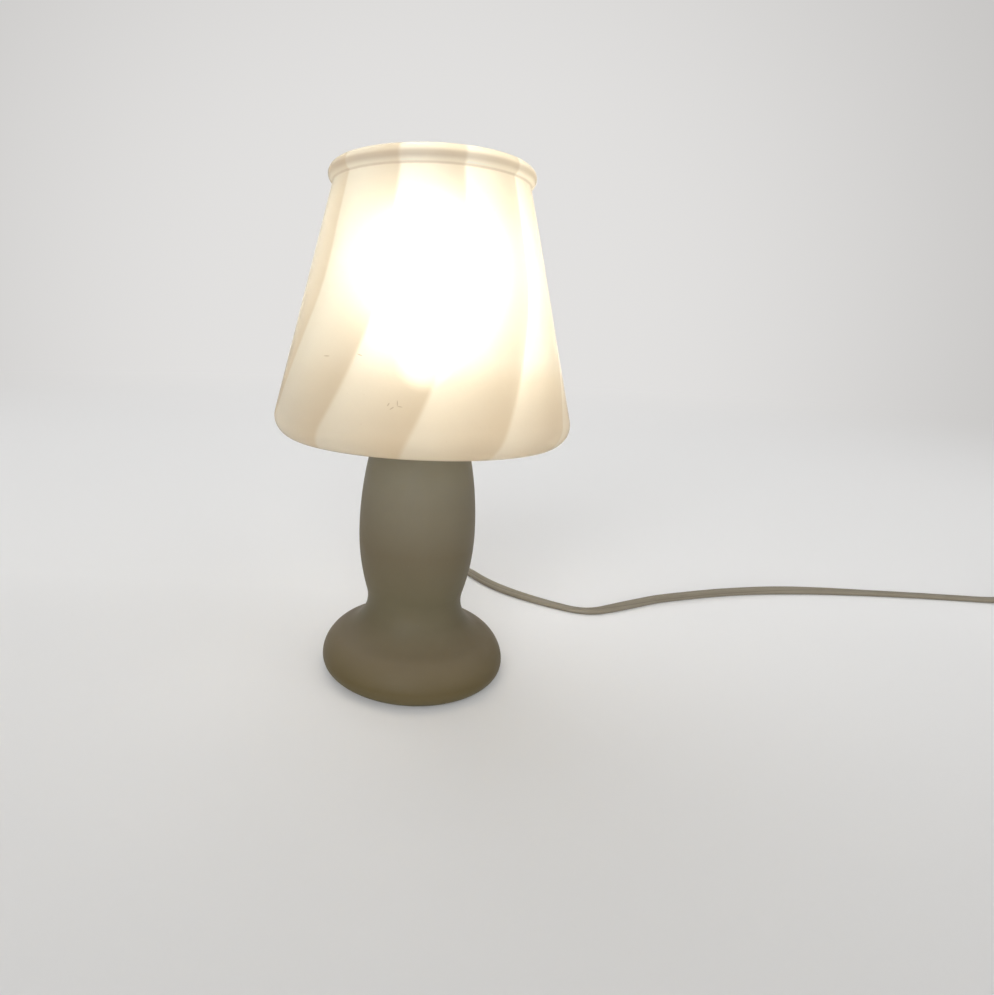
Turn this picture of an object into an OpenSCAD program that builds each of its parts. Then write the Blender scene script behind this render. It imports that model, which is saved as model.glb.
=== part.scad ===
// Mushroom table lamp: a flared glass shade with a rolled lip, clamped by a small
// candle-size lampholder onto the neck of a blown glass base, with a flat twin flex,
// a rocker switch on the flex and a two-pin plug.
// Millimetres, +Z up. The origin is on the table, under the middle of the base.
// The flex leaves the back of the foot, on the +Y side.

/* [Shade] */
// Largest radius of the shade, at its lower shoulder
shade_r = 75; // [65:0.5:85]
// Radius of the wall where it meets the rolled lip
shade_neck_r = 48.75; // [44:0.05:56]
// Height from the floor's underside to the middle of the lip
shade_h = 123.4; // [105:0.2:140]
// Radius of the rounded shoulder
shoulder_r = 10.7; // [8:0.1:14]
// How far the shoulder hangs below the floor
shoulder_drop = 5.2; // [3:0.1:7]
// Glass thickness of the shade
shade_wall = 3.2; // [2.4:0.1:4]
// Radius of the rolled lip's bead
lip_r = 4.5; // [3.8:0.1:5.6]
// How far the bead's middle lies inside the wall's outer face
lip_inset = 2.15; // [1.4:0.05:3]
// Radius of the flat middle of the floor
shade_floor_r = 28; // [25:0.5:34]

/* [Base] */
// Radius of the foot
foot_r = 48.4; // [44:0.1:55]
// Height of the foot's widest line
foot_belly_z = 7.3; // [6.5:0.1:9]
// Height of the foot's crown
foot_h = 22.7; // [20:0.1:26]
// Distance from the foot's edge in to the top of its crown
foot_crown_w = 16.7; // [15:0.1:20]
// Radius of the stem's belly
stem_r = 30.7; // [28:0.1:35]
// Height of the stem's belly
stem_belly_z = 76.8; // [68:0.1:86]
// Radius of the stem at its upper rim
stem_top_r = 24.2; // [22.5:0.1:27.5]
// Height of the stem's upper rim
stem_top_z = 126; // [115:0.5:140]
// Radius of the waist between stem and foot, before it is blended
waist_r = 16.9; // [15:0.1:19]
// Radius of the blend at the waist
waist_blend_r = 17.8; // [14:0.1:20]
// Glass thickness of the base
base_wall = 4; // [3:0.1:5]
// Glass thickness of the base's bottom
base_floor_t = 4.5; // [3.5:0.1:6]
// Thickness of the felt pad under the foot
pad_t = 1.2; // [0.8:0.1:2]
// Outer radius of the felt pad
pad_r = 39; // [30:0.5:41]
// Inner radius of the felt pad
pad_hole_r = 22; // [10:0.5:28]

/* [Neck fitting] */
// Outer radius of the threaded tube
tube_r = 5; // [4:0.1:6]
// Bore radius of the threaded tube
tube_bore_r = 4.1; // [3.2:0.1:4.4]
// Thickness of the ring between glass rim and cap
neck_ring_t = 1; // [0.6:0.1:2]
// Thickness of the metal neck cap
cap_t = 2; // [1.5:0.1:3]
// How far the cap stands out past the stem's rim
cap_overhang = 0.8; // [0.2:0.1:2]
// Depth of the cap's spigot inside the neck
spigot_h = 5; // [3:0.5:6]
// Wall of the cap's spigot
spigot_t = 1.5; // [1:0.1:2.5]
// Distance of the crossbar's top below the stem's rim
bar_drop = 8; // [7:0.5:14]
// Thickness of the crossbar
bar_t = 3; // [2:0.1:4]
// Width of the crossbar
bar_w = 14; // [11:0.5:18]
// Width across the flats of the tube's nut
nut_af = 14; // [12.5:0.1:17]
// Height of the tube's nut
nut_h = 4; // [3:0.1:6]
// Thickness of the shade bush's flange
bush_t = 2; // [1:0.1:3]
// Outer radius of the shade bush's flange
bush_r = 22; // [14:0.5:24]
// Wall of the bush's collar in the shade's hole
collar_t = 2.4; // [1.5:0.1:4]
// Thickness of the washer on the shade's floor
washer_t = 1.5; // [0.8:0.1:2.5]
// Radius of the washer on the shade's floor
washer_r = 18; // [14:0.5:22]
// Thickness of the clamping disc
disc_t = 1; // [0.8:0.1:2]
// Radius of the clamping disc
disc_r = 19; // [15:0.5:23]

/* [Lampholder] */
// Outer radius of the lampholder
holder_r = 13.5; // [12.5:0.1:15]
// Wall of the lampholder's two housings
holder_wall = 1.8; // [1.4:0.1:2.2]
// Height of the lower housing
holder_base_h = 12; // [10:0.5:16]
// Floor of the lower housing
holder_floor_t = 3; // [2:0.1:4]
// Height of the upper housing above the joint
sleeve_h = 27; // [25:0.5:32]
// Depth of the upper housing's lap in the lower one
lap_h = 3; // [2:0.1:4]
// Thickness of the ledge that carries the terminal block
ledge_t = 1.5; // [1:0.1:3]
// Radius of the hole in that ledge
ledge_hole_r = 8; // [7.2:0.1:8.5]
// Thickness of the terminal block
block_t = 5; // [4:0.1:7]
// Depth of the terminal block's boss below the ledge
boss_h = 2.7; // [2:0.1:4]
// Bore radius of the screw shell
shell_r = 7.15; // [7.1:0.05:7.5]
// Thickness of the screw shell's brass
shell_t = 0.4; // [0.3:0.05:0.6]
// Height of the screw shell
shell_h = 19; // [16:0.5:22]
// Thickness of the contact strips
strip_t = 0.5; // [0.3:0.05:0.8]
// Width of the contact strips
strip_w = 4; // [3:0.1:5]
// Height of the centre contact above the block
tongue_h = 2.3; // [1.8:0.1:4]

/* [Bulb] */
// Radius of the bulb's ball
ball_r = 22.5; // [18:0.5:26]
// Length of the bulb from its tip contact to the top of its ball
bulb_l = 76; // [70:0.5:84]
// Radius of the bulb's screw cap
bulb_cap_r = 6.85; // [6.6:0.05:6.9]
// Length of the screw cap
bulb_cap_l = 20; // [18:0.5:24]
// Thickness of the bulb's glass
bulb_wall = 0.9; // [0.6:0.1:1.2]
// How far the bulb is lifted out through the shade's mouth
bulb_lift = 110; // [100:1:125]

/* [Flex] */
// Width of the flat flex
flex_w = 5.8; // [5:0.1:6.4]
// Thickness of the flat flex
flex_t = 3.4; // [2.8:0.1:4]
// Height of the flex where it leaves the foot
cord_z = 11; // [10:0.1:13]
// Radius of the bushing in the glass
bushing_r = 4.4; // [3.8:0.1:5]
// Radius of the bushing's flange
flange_r = 6.4; // [5.6:0.1:7.5]
// Thickness of the bushing's flange
flange_t = 1.6; // [1:0.1:3]
// Length of the bushing's tapered nose
nose_l = 20.5; // [20:0.5:30]
// Inner radius of the flex's coil
coil_in_r = 23.4; // [23:0.1:27]
// Turns of the coil
coil_turns = 5.25; // [3.25:1:7.25]
// Room between the turns of the coil
coil_room = 0.7; // [0.6:0.1:1.2]
// Thickness of the coil's tie
tie_t = 0.8; // [0.6:0.1:1.5]
// Width of the coil's tie
tie_w = 9; // [6:0.5:14]

/* [Switch] */
// Length of the switch housing
switch_l = 62; // [58:1:72]
// Width of the switch housing
switch_w = 27; // [25:0.5:32]
// Height of the lower shell
switch_base_h = 9; // [8.6:0.1:11]
// Height of the upper shell at its middle
switch_cover_h = 9; // [8.5:0.1:11]
// Wall of both shells
switch_wall = 2; // [1.5:0.1:2.4]
// Radius of the upper shell's arched top
switch_arch_r = 75; // [65:1:110]
// Length of the rocker, tip to tip
rocker_l = 19.2; // [17:0.1:21]
// Width of the rocker
rocker_w = 11.4; // [9:0.1:12.5]
// Swing of the rocker from on to off, in degrees
rocker_swing = 18; // [12:1:20]
// Depth of the rocker's pivot below the top of the upper shell
pivot_drop = 4; // [3.6:0.1:4.6]
// Radius of the rocker's trunnions
trunnion_r = 1.5; // [1.2:0.05:1.7]
// Swing of the contact bridge, in degrees
bridge_swing = 16; // [10:1:18]
// Height of the bridge's pivot above the floor of the lower shell
bridge_rise = 4; // [3.6:0.1:4.6]
// Length of the contact bridge
bridge_l = 16; // [13:0.5:18]
// Radius of the screws that join the shells
screw_r = 1.25; // [1:0.05:1.5]
// Distance of those screws from the middle
screw_x = 21.5; // [20:0.5:23]

/* [Plug] */
// Width of the plug's body at its face
plug_w = 34; // [30:0.5:36]
// Thickness of the plug's body
plug_t = 13.6; // [12.5:0.1:15]
// Length of the plug's body
plug_l = 35; // [30:0.5:40]
// Width of the plug's body at the flex
plug_tail_w = 13; // [11:0.5:18]
// Distance between the pins
pin_gap = 18.6; // [17:0.1:19.2]
// Radius of the pins
pin_r = 2; // [1.8:0.05:2.2]
// Length of the pins
pin_l = 19; // [17:0.5:20]
// Length of the moulded sleeve on each pin
pin_sleeve_l = 10; // [8:0.5:11]
// Length of the plug's tapered strain relief
relief_l = 24; // [20:1:32]

/* [Clearances] */
// Room round pieces that are slipped over a tube
slip = 0.1; // [0.05:0.05:0.2]
// Room between pieces that move past each other
play = 0.3; // [0.25:0.05:0.5]
// Radial room of a pin that turns in its bore
running = 0.05; // [0.02:0.01:0.08]

/* [Hidden] */
$fn = 96;

// Base: the foot is drawn by three arcs that run into each other, the stem by two,
// and a blend joins them at the waist.
foot_rise = foot_h - foot_belly_z;
foot_low_r = foot_belly_z - pad_t;
foot_low_c = [foot_r - foot_low_r, foot_belly_z];
foot_side_r = 0.85 * min(foot_rise, foot_crown_w);
foot_side_c = [foot_r - foot_side_r, foot_belly_z];
foot_side_in = foot_crown_w - foot_side_r;
foot_crown_r = (pow(foot_side_in, 2) + pow(foot_rise, 2) - pow(foot_side_r, 2))
    / (2 * (foot_rise - foot_side_r));
foot_crown_c = [foot_r - foot_crown_w, foot_h - foot_crown_r];
foot_turn = atan2(foot_side_c[1] - foot_crown_c[1], foot_side_c[0] - foot_crown_c[0]);
stem_up_r = bow(stem_top_z - stem_belly_z, stem_r - stem_top_r);
stem_up_c = [stem_r - stem_up_r, stem_belly_z];
stem_low_r = bow(stem_belly_z - foot_h, stem_r - waist_r);
stem_low_c = [stem_r - stem_low_r, stem_belly_z];
waist_c = meet(stem_low_c, stem_low_r + waist_blend_r, foot_crown_c, foot_crown_r + waist_blend_r);
neck_in_r = neck_bore(stem_top_z);

// Neck fitting, stacked upwards from the stem's rim
cap_z = stem_top_z + neck_ring_t;
bush_z = cap_z + cap_t;
shade_z = bush_z + bush_t;
washer_z = shade_z + shade_wall;
disc_z = washer_z + washer_t;
holder_z = disc_z + disc_t;
bar_z = stem_top_z - bar_drop - bar_t;
tube_low_z = bar_z - nut_h - 3;
tube_top_z = holder_z + holder_floor_t + 3;
shade_hole_r = tube_r + slip + collar_t + play;

// Shade: the wall and the floor are tangents of the shoulder's arc
shoulder_c = [shade_r - shoulder_r, shade_z - shoulder_drop + shoulder_r];
lip_c = [shade_neck_r - lip_inset, shade_z + shade_h];
lip_joint = [shade_neck_r, lip_c[1] - sqrt(pow(lip_r, 2) - pow(lip_inset, 2))];
floor_edge = [shade_floor_r, shade_z];
wall_a = heading(lip_joint - shoulder_c) - acos(shoulder_r / norm(lip_joint - shoulder_c));
floor_a = heading(floor_edge - shoulder_c) + acos(shoulder_r / norm(floor_edge - shoulder_c));
shade_top_z = lip_c[1] + lip_r;

// Lampholder and bulb
joint_z = holder_z + holder_base_h;
block_z = joint_z + ledge_t;
block_r = holder_r - holder_wall - 0.2;
shell_z = block_z + block_t;
tongue_z = shell_z + tongue_h;
bulb_z = tongue_z + play;
ball_z = bulb_z + bulb_l - ball_r;
tip_h = 1.2;
insulator_h = 2.6;
bulb_cap_z = bulb_z + tip_h + insulator_h;
bulb_neck = [bulb_cap_r + 1.9, bulb_cap_z + bulb_cap_l];
terminal_z = block_z - ledge_t - boss_h / 2 + 0.6;

// Flex: each route is a row of [x, y, z, roll]. Where the flat flex rolls onto its edge
// its middle lies higher above the table. Its bends are four widths or wider.
nose_y = foot_r + 0.2 + flange_t + nose_l;
inner_y = foot_r - base_wall - 3;
switch_x = 500;
switch_y = 128;
switch_cord_z = 5.2;
spout_l = 5;
spout_in = switch_x - switch_l / 2 - spout_l;
spout_out = switch_x + switch_l / 2 + spout_l;
coil_c = [505, 39];
coil_pitch = flex_w + coil_room;
coil_layer = flex_t + coil_room;
coil_z = tie_t + play + flex_t / 2;
coil_out_r = coil_in_r + coil_pitch * coil_turns / 2;
coil_start = [coil_c[0] + flex_w, coil_c[1] + coil_out_r, coil_z];
coil_end = [coil_c[0] - coil_out_r, coil_c[1] - flex_w, coil_z + coil_layer];
plug_mid_z = plug_t / 2;
plug_y = -14;
inner_route = [[0, inner_y, cord_z, 0], [0, inner_y - flex_w, cord_z, 0], [0, 27, 11.6, 0],
    [0, 19.5, 14.5, 0], [0, 14.5, 20, 0], [0, 11, 28, 0], [0, 8.5, 38, 0], [0, 5.5, 54, 0],
    [0, 2.5, 74, 0], [0, 0, 96, 0], [0, 0, tube_low_z + 2, 0], [0, 0, block_z - ledge_t - boss_h, 0]];
loop_c = [20.5, 122];
loop_r = 24;
turn_r = (switch_y - coil_start[1]) / 2;
turn_c = [551, switch_y - turn_r];
lamp_route = concat([[0, nose_y, cord_z, 0], [0, nose_y + flex_w, cord_z, 0], [0, 85, 9.9, 0],
    [0, 93, 6.4, 0], [-1, 101, 3.1, 0]], lie([[-3, 110, 0]]),
    lie([for (a = [180:-21:33]) [each loop_c + polar(loop_r, a), 5 + (180 - a) / 4.2]]),
    lie([[49, 121, 40], [58, 109, 38], [68, 99.5, 30], [78, 92, 20], [88, 85.8, 10], [98, 80.3, 3],
    [106, 76.6, 0], [114, 75, 3], [122, 76, 12], [131, 79.5, 28], [142, 84.5, 50], [155, 91, 70],
    [168, 97.5, 82], [182, 103, 90], [195, 107.5, 90], [208, 111.8, 90], [222, 116, 90],
    [245, 121.5, 85], [270, 126, 60], [300, 129.5, 30], [335, 131, 8], [370, 131, 0], [405, 129.5, 0]]),
    [[425, 128.4, 2, 0], [441, 128, 3.5, 0]],
    [for (x = [-flex_w, 0]) [spout_in + x, switch_y, switch_cord_z, 0]]);
link_route = concat([for (x = [0, flex_w]) [spout_out + x, switch_y, switch_cord_z, 0]],
    [for (a = [90:-20:-90]) [each turn_c + polar(turn_r, a),
        lookup(a, [[-90, 2.2], [-50, 1.9], [10, 1.8], [50, 2.4], [70, 3.3], [90, 4.4]]), 0]],
    [[538, coil_start[1], 2.5, 0], [526, coil_start[1], coil_z, 0], [each coil_start, 0]]);
tail_route = [[coil_end[0], coil_end[1], coil_end[2], 0], [coil_end[0], 26, coil_end[2], 0],
    [coil_end[0], 18, plug_mid_z, 0], [coil_end[0], plug_y + relief_l, plug_mid_z, 0]];

// Radius of an arc over a half chord h with a rise of s
function bow(h, s) = (h * h + s * s) / (2 * s);
// Inner radius of the stem at a height above its belly
function neck_bore(z) = stem_up_c[0] + sqrt(pow(stem_up_r - base_wall, 2) - pow(z - stem_belly_z, 2));
function unit(v) = v / norm(v);
function heading(v) = atan2(v[1], v[0]);
function polar(r, a) = r * [cos(a), sin(a)];
// The upper of the two points where two circles cross
function meet(c, r, e, q) = let(d = norm(e - c), u = (e - c) / d, a = (r * r - q * q + d * d) / (2 * d),
    h = sqrt(max(0, r * r - a * a))) c + a * u + h * [-u[1], u[0]];

// The flex on the table at steps of [x, y, roll], and its rings: each is square to the route
// and turned by its roll
function lie(steps) = [for (p = steps)
    [p[0], p[1], (flex_w - flex_t) / 2 * sin(p[2]) + flex_t / 2 + 0.1, p[2]]];
function place(route) = [for (p = route) [p[0], p[1], p[2]]];
function along(p, i) = unit(p[min(i + 1, len(p) - 1)] - p[max(i - 1, 0)]);
function across(t) = abs(t[2]) > 0.999 ? [1, 0, 0] : unit(cross([0, 0, 1], t));
function flex_ring(p, i, roll, sides) = let(t = along(p, i), s = across(t), u = cross(t, s),
    w = s * cos(roll) + u * sin(roll), v = u * cos(roll) - s * sin(roll))
    [for (k = [0:sides - 1]) let(a = 360 * k / sides)
        p[i] + flex_w / 2 * cos(a) * w + flex_t / 2 * sin(a) * v];
function flex_rings(route, sides) = let(p = place(route))
    [for (i = [0:len(p) - 1]) flex_ring(p, i, route[i][3], sides)];

// The coil spirals in on the table, climbs in the half turn where it turns back, and spirals out on top
function coil_radius(t) = coil_in_r + coil_pitch * abs(t - coil_turns / 2);
function coil_climb(t) = let(u = min(max(2 * (t - coil_turns / 2) + 0.5, 0), 1)) u * u * (3 - 2 * u);
function coil_point(t) = [coil_c[0] + coil_radius(t) * cos(90 + 360 * t),
    coil_c[1] + coil_radius(t) * sin(90 + 360 * t), coil_z + coil_layer * coil_climb(t), 0];
loop_rings = 24;
coil_route = concat([[coil_start[0], coil_start[1], coil_start[2], 0]],
    [for (k = [0:loop_rings * coil_turns]) coil_point(k / loop_rings)],
    [[coil_end[0], coil_end[1], coil_end[2], 0]]);
// Least distance between points of neighbouring turns
function coil_gap(rings) = min([for (i = [0:len(rings) - 1], turn = [1:ceil(coil_turns)], d = [-1:1])
    let(j = i + loop_rings * turn + d) if (j < len(rings)) for (a = rings[i], b = rings[j]) norm(a - b)]);

// A closed tube through rings of points
module tube(rings) {
    n = len(rings[0]);
    m = len(rings);
    walls = [for (i = [0:m - 2], k = [0:n - 1]) let(a = i * n + k, b = i * n + (k + 1) % n)
        each [[a, a + n, b + n], [a, b + n, b]]];
    last = (m - 1) * n;
    ends = [for (k = [1:n - 2]) each [[0, k, k + 1], [last, last + k + 1, last + k]]];
    polyhedron(points = [for (r = rings) each r], faces = concat(walls, ends));
}

// A slice of a disc between two angles
module pie(r, from, to) {
    intersection() {
        circle(r);
        polygon([[0, 0], polar(2 * r, from), polar(2 * r, (from + to) / 2), polar(2 * r, to)]);
    }
}

// A flat ring
module washer(r, hole, t) {
    difference() {
        cylinder(r = r, h = t);
        translate([0, 0, -1]) cylinder(r = hole, h = t + 2);
    }
}

// Half of the base's section, drawn inwards from its outer face
module foot_outline(in) {
    translate(foot_low_c) pie(foot_low_r - in, -90, 0);
    translate(foot_side_c) pie(foot_side_r - in, 0, 180);
    translate(foot_crown_c) pie(foot_crown_r - in, foot_turn, 150);
    translate([0, pad_t + in]) square([foot_low_c[0], foot_low_r - in + 1]);
}

module stem_outline(in) {
    intersection() {
        translate(stem_up_c) circle(stem_up_r - in, $fn = 360);
        translate([0, stem_belly_z]) square([stem_r, stem_top_z - stem_belly_z + in]);
    }
    intersection() {
        translate(stem_low_c) circle(stem_low_r - in, $fn = 360);
        translate([0, foot_belly_z]) square([stem_r, stem_belly_z - foot_belly_z]);
    }
}

module waist_outline(in) {
    crown_touch = foot_crown_c + (foot_crown_r - in) * unit(waist_c - foot_crown_c);
    stem_touch = stem_low_c + (stem_low_r - in) * unit(waist_c - stem_low_c);
    difference() {
        polygon([crown_touch, waist_c, stem_touch, [0, stem_touch[1]], [0, foot_belly_z], foot_crown_c]);
        translate(waist_c) circle(waist_blend_r + in);
    }
}

module base_outline(in, bottom) {
    intersection() {
        union() {
            foot_outline(in);
            stem_outline(in);
            waist_outline(in);
        }
        translate([0, bottom]) square([foot_r, 2 * stem_top_z]);
    }
}

module glass_base() {
    color("#877c66") difference() {
        rotate_extrude() difference() {
            base_outline(0, pad_t);
            base_outline(base_wall, pad_t + base_floor_t);
        }
        translate([0, foot_r + 5, cord_z]) rotate([90, 0, 0])
            cylinder(r = bushing_r + 0.2, h = foot_r / 2);
    }
}

module felt_pad() {
    color("#4a4640") washer(pad_r, pad_hole_r, pad_t);
}

module neck_ring() {
    color("#d8d4c8") translate([0, 0, stem_top_z])
        washer(stem_top_r - play, neck_in_r + play, neck_ring_t);
}

module neck_cap() {
    spigot_r = neck_in_r - 2 * play;
    color("#b9b4a8") difference() {
        union() {
            translate([0, 0, cap_z]) cylinder(r = stem_top_r + cap_overhang, h = cap_t);
            translate([0, 0, cap_z - neck_ring_t - spigot_h])
                washer(spigot_r, spigot_r - spigot_t, spigot_h + neck_ring_t + 0.1);
        }
        translate([0, 0, cap_z - 1]) cylinder(r = tube_r + slip, h = cap_t + 2);
    }
}

module crossbar() {
    color("#a9a9a4") translate([0, 0, bar_z]) difference() {
        intersection() {
            cylinder(r = neck_bore(bar_z + bar_t) - play, h = bar_t);
            translate([-stem_r, -bar_w / 2, 0]) cube([2 * stem_r, bar_w, bar_t]);
        }
        translate([0, 0, -1]) cylinder(r = tube_r + slip, h = bar_t + 2);
    }
}

module tube_nut() {
    color("#c9a24e") translate([0, 0, bar_z - nut_h]) difference() {
        cylinder(d = nut_af / cos(30), h = nut_h, $fn = 6);
        translate([0, 0, -1]) cylinder(r = tube_r + slip, h = nut_h + 2);
    }
}

module threaded_tube() {
    color("#c4c2bb") translate([0, 0, tube_low_z]) washer(tube_r, tube_bore_r, tube_top_z - tube_low_z);
}

module shade_bush() {
    color("#e6e2d6") {
        difference() {
            union() {
                translate([0, 0, bush_z]) cylinder(r = bush_r, h = bush_t);
                translate([0, 0, bush_z])
                    cylinder(r = tube_r + slip + collar_t, h = bush_t + shade_wall - play);
            }
            translate([0, 0, bush_z - 1]) cylinder(r = tube_r + slip, h = bush_t + shade_wall + 2);
        }
    }
}

// Half of the shade's section without its lip, drawn inwards from its outer face
module shade_outline(in) {
    tilt = 270 - floor_a;
    r = shoulder_r - in;
    wall_low = shoulder_c + polar(r, wall_a);
    wall_top = lip_joint - polar(in, wall_a) + polar(in, wall_a + 90);
    floor_low = shoulder_c + polar(r, floor_a);
    floor_turn = floor_edge + in * [tan(tilt / 2), 1];
    translate(shoulder_c) circle(r);
    polygon([[0, shade_z + in], floor_turn, floor_low, shoulder_c, wall_low, wall_top, [0, wall_top[1]]]);
}

// Half of its section up to the lip. The glass is blown in one piece: its bowl, wall and lip are
// separate nodes so that the collision stays open inside it.
module shade_section() {
    difference() {
        shade_outline(0);
        shade_outline(shade_wall);
        square([shade_hole_r, shade_top_z]);
        translate(lip_c) circle(lip_r);
    }
}

module shade_bowl() {
    color("cornsilk") rotate_extrude($fn = 144) intersection() {
        shade_section();
        square([shade_r + 1, shoulder_c[1]]);
    }
}

module glass_shade() {
    color("cornsilk") rotate_extrude($fn = 144) difference() {
        shade_section();
        square([shade_r + 1, shoulder_c[1]]);
    }
}

module shade_lip() {
    color("cornsilk") rotate_extrude($fn = 144) translate(lip_c) circle(lip_r);
}

module shade_washer() {
    color("#e6e2d6") translate([0, 0, washer_z]) washer(washer_r, tube_r + slip, washer_t);
}

module clamp_disc() {
    color("#b9b4a8") translate([0, 0, disc_z]) washer(disc_r, tube_r + slip, disc_t);
}

module holder_base() {
    color("#f0ece0") translate([0, 0, holder_z]) difference() {
        cylinder(r = holder_r, h = holder_base_h);
        translate([0, 0, holder_floor_t]) cylinder(r = holder_r - holder_wall, h = holder_base_h);
        translate([0, 0, -1]) cylinder(r = tube_r + slip, h = holder_floor_t + 2);
    }
}

// The upper housing laps into the lower one, and its ledge carries the terminal block
module holder_sleeve() {
    lap_r = holder_r - holder_wall - slip;
    color("#f0ece0") translate([0, 0, joint_z]) rotate_extrude() difference() {
        union() {
            square([holder_r, sleeve_h]);
            translate([0, -lap_h]) square([lap_r, lap_h]);
        }
        translate([0, -lap_h - 1]) square([ledge_hole_r + 0.6, lap_h + 1]);
        translate([0, -1]) square([ledge_hole_r, sleeve_h + 2]);
        translate([0, ledge_t]) square([block_r + slip, sleeve_h - ledge_t - 2]);
        translate([0, sleeve_h - 2.5]) square([bulb_cap_r + 2.6, 3]);
    }
}

module terminal_block() {
    color("#dcd8cc") difference() {
        union() {
            translate([0, 0, block_z]) cylinder(r = block_r, h = block_t);
            translate([0, 0, block_z - ledge_t - boss_h])
                cylinder(r = ledge_hole_r - slip, h = boss_h + ledge_t + 0.1);
        }
        for (side = [-1, 1])
            translate([side * 4.6, 0, terminal_z]) rotate([0, side * 90, 0])
                cylinder(r = 1.2 + slip, h = ledge_hole_r);
    }
}

module terminal_screw(side) {
    color("#c9a24e") translate([side * 4.7, 0, terminal_z]) rotate([0, side * 90, 0])
        cylinder(r = 1.2, h = ledge_hole_r - 4.9);
}

module terminal_screw_live() {
    terminal_screw(-1);
}

module terminal_screw_neutral() {
    terminal_screw(1);
}

module screw_shell() {
    color("#d2a94a") translate([0, 0, shell_z]) washer(shell_r + shell_t, shell_r, shell_h);
}

// A riveted tongue that springs up under the bulb's tip
module centre_contact() {
    foot_x = shell_r - 1.2;
    color("#d2a94a") translate([0, strip_w / 2, shell_z]) rotate([90, 0, 0]) linear_extrude(strip_w)
        polygon([[-foot_x, 0], [-foot_x / 2, 0], [-strip_t, tongue_h - strip_t], [2, tongue_h - strip_t],
            [2, tongue_h], [-strip_t * 1.6, tongue_h], [-foot_x / 2 - 0.6 * strip_t, strip_t],
            [-foot_x, strip_t]]);
}

module side_contact() {
    color("#d2a94a") translate([shell_r + shell_t + 0.1, -strip_w / 2, shell_z])
        cube([strip_t, strip_w, shell_h / 2]);
}

// Bulb: a frosted ball on a screw cap, hollow, with a stem and a looped filament inside
module bulb_outline(in) {
    ball_c = [0, ball_z];
    neck_low = bulb_neck - [in, 0];
    touch_a = heading(neck_low - ball_c) + acos((ball_r - in) / norm(neck_low - ball_c));
    intersection() {
        translate(ball_c) circle(ball_r - in);
        translate([0, ball_z - ball_r]) square([ball_r, 2 * ball_r]);
    }
    polygon([[0, neck_low[1]], neck_low, ball_c + polar(ball_r - in, touch_a), ball_c]);
}

module bulb_glass() {
    color("white") rotate_extrude() difference() {
        bulb_outline(0);
        bulb_outline(bulb_wall);
    }
}

module bulb_cap() {
    color("#c0bfba") translate([0, 0, bulb_cap_z]) rotate_extrude() difference() {
        union() {
            square([bulb_cap_r, bulb_cap_l]);
            polygon([[0, bulb_cap_l - 3], [bulb_cap_r, bulb_cap_l - 3], [bulb_neck[0], bulb_cap_l],
                [0, bulb_cap_l]]);
        }
        translate([0, 1]) square([bulb_cap_r - 0.6, bulb_cap_l]);
    }
}

module bulb_insulator() {
    color("#26241f") translate([0, 0, bulb_z + tip_h])
        cylinder(r1 = bulb_cap_r - 3, r2 = bulb_cap_r - 0.8, h = insulator_h);
}

module bulb_tip() {
    color("#b5b3ad") translate([0, 0, bulb_z]) cylinder(r = bulb_cap_r - 4, h = tip_h);
}

module bulb_stem() {
    color("#eef2f0") translate([0, 0, bulb_cap_z + 1]) {
        cylinder(r = bulb_cap_r - 0.9, h = bulb_cap_l - 1);
        cylinder(r = 2.4, h = ball_z - bulb_cap_z - 9);
    }
}

module bulb_filament() {
    loop_r = ball_r / 3;
    lead_low_z = ball_z - 7.8;
    lead_h = ball_z + 2 - lead_low_z;
    lean = atan2(loop_r - 1.5, lead_h);
    color("#8a8478") {
        for (side = [-1, 1])
            translate([side * 1.5, 0, lead_low_z]) rotate([0, side * lean, 0])
                cylinder(r = 0.4, h = lead_h / cos(lean), $fn = 24);
        translate([0, 0, ball_z + 2]) rotate_extrude(angle = 180)
            translate([loop_r, 0]) circle(0.5, $fn = 24);
    }
}

// Flex, from the terminal block down the tube and out of the foot
module inner_flex() {
    color("#a49c86") tube(flex_rings(inner_route, 8));
}

module cord_bushing() {
    color("#b0a78f") translate([0, foot_r + 0.2, cord_z]) rotate([-90, 0, 0]) {
        translate([0, 0, inner_y - foot_r - 0.2]) cylinder(r = bushing_r, h = foot_r + 0.3 - inner_y);
        cylinder(r = flange_r, h = flange_t);
        translate([0, 0, flange_t]) cylinder(r1 = bushing_r + 0.6, r2 = flex_w / 2 + 0.5, h = nose_l);
    }
}

module cord_lamp() {
    color("#a49c86") tube(flex_rings(lamp_route, 8));
}

module cord_link() {
    color("#a49c86") tube(flex_rings(link_route, 8));
}

module cord_coil() {
    rings = flex_rings(coil_route, 6);
    echo(least_gap_between_turns = coil_gap(rings));
    color("#a49c86") tube(rings);
}

module cord_tail() {
    color("#a49c86") tube(flex_rings(tail_route, 8));
}

module coil_tie() {
    low = coil_in_r - flex_w / 2 - play;
    reach = coil_out_r - coil_in_r + flex_w + 2 * play;
    rise = coil_layer + flex_t + 2 * play;
    color("#3a3a3a") translate([coil_c[0] + low, coil_c[1] - tie_w / 2, 0]) difference() {
        translate([-tie_t, 0, 0]) cube([reach + 2 * tie_t, tie_w, rise + 2 * tie_t]);
        translate([0, -1, tie_t]) cube([reach, tie_w + 2, rise]);
    }
}

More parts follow.
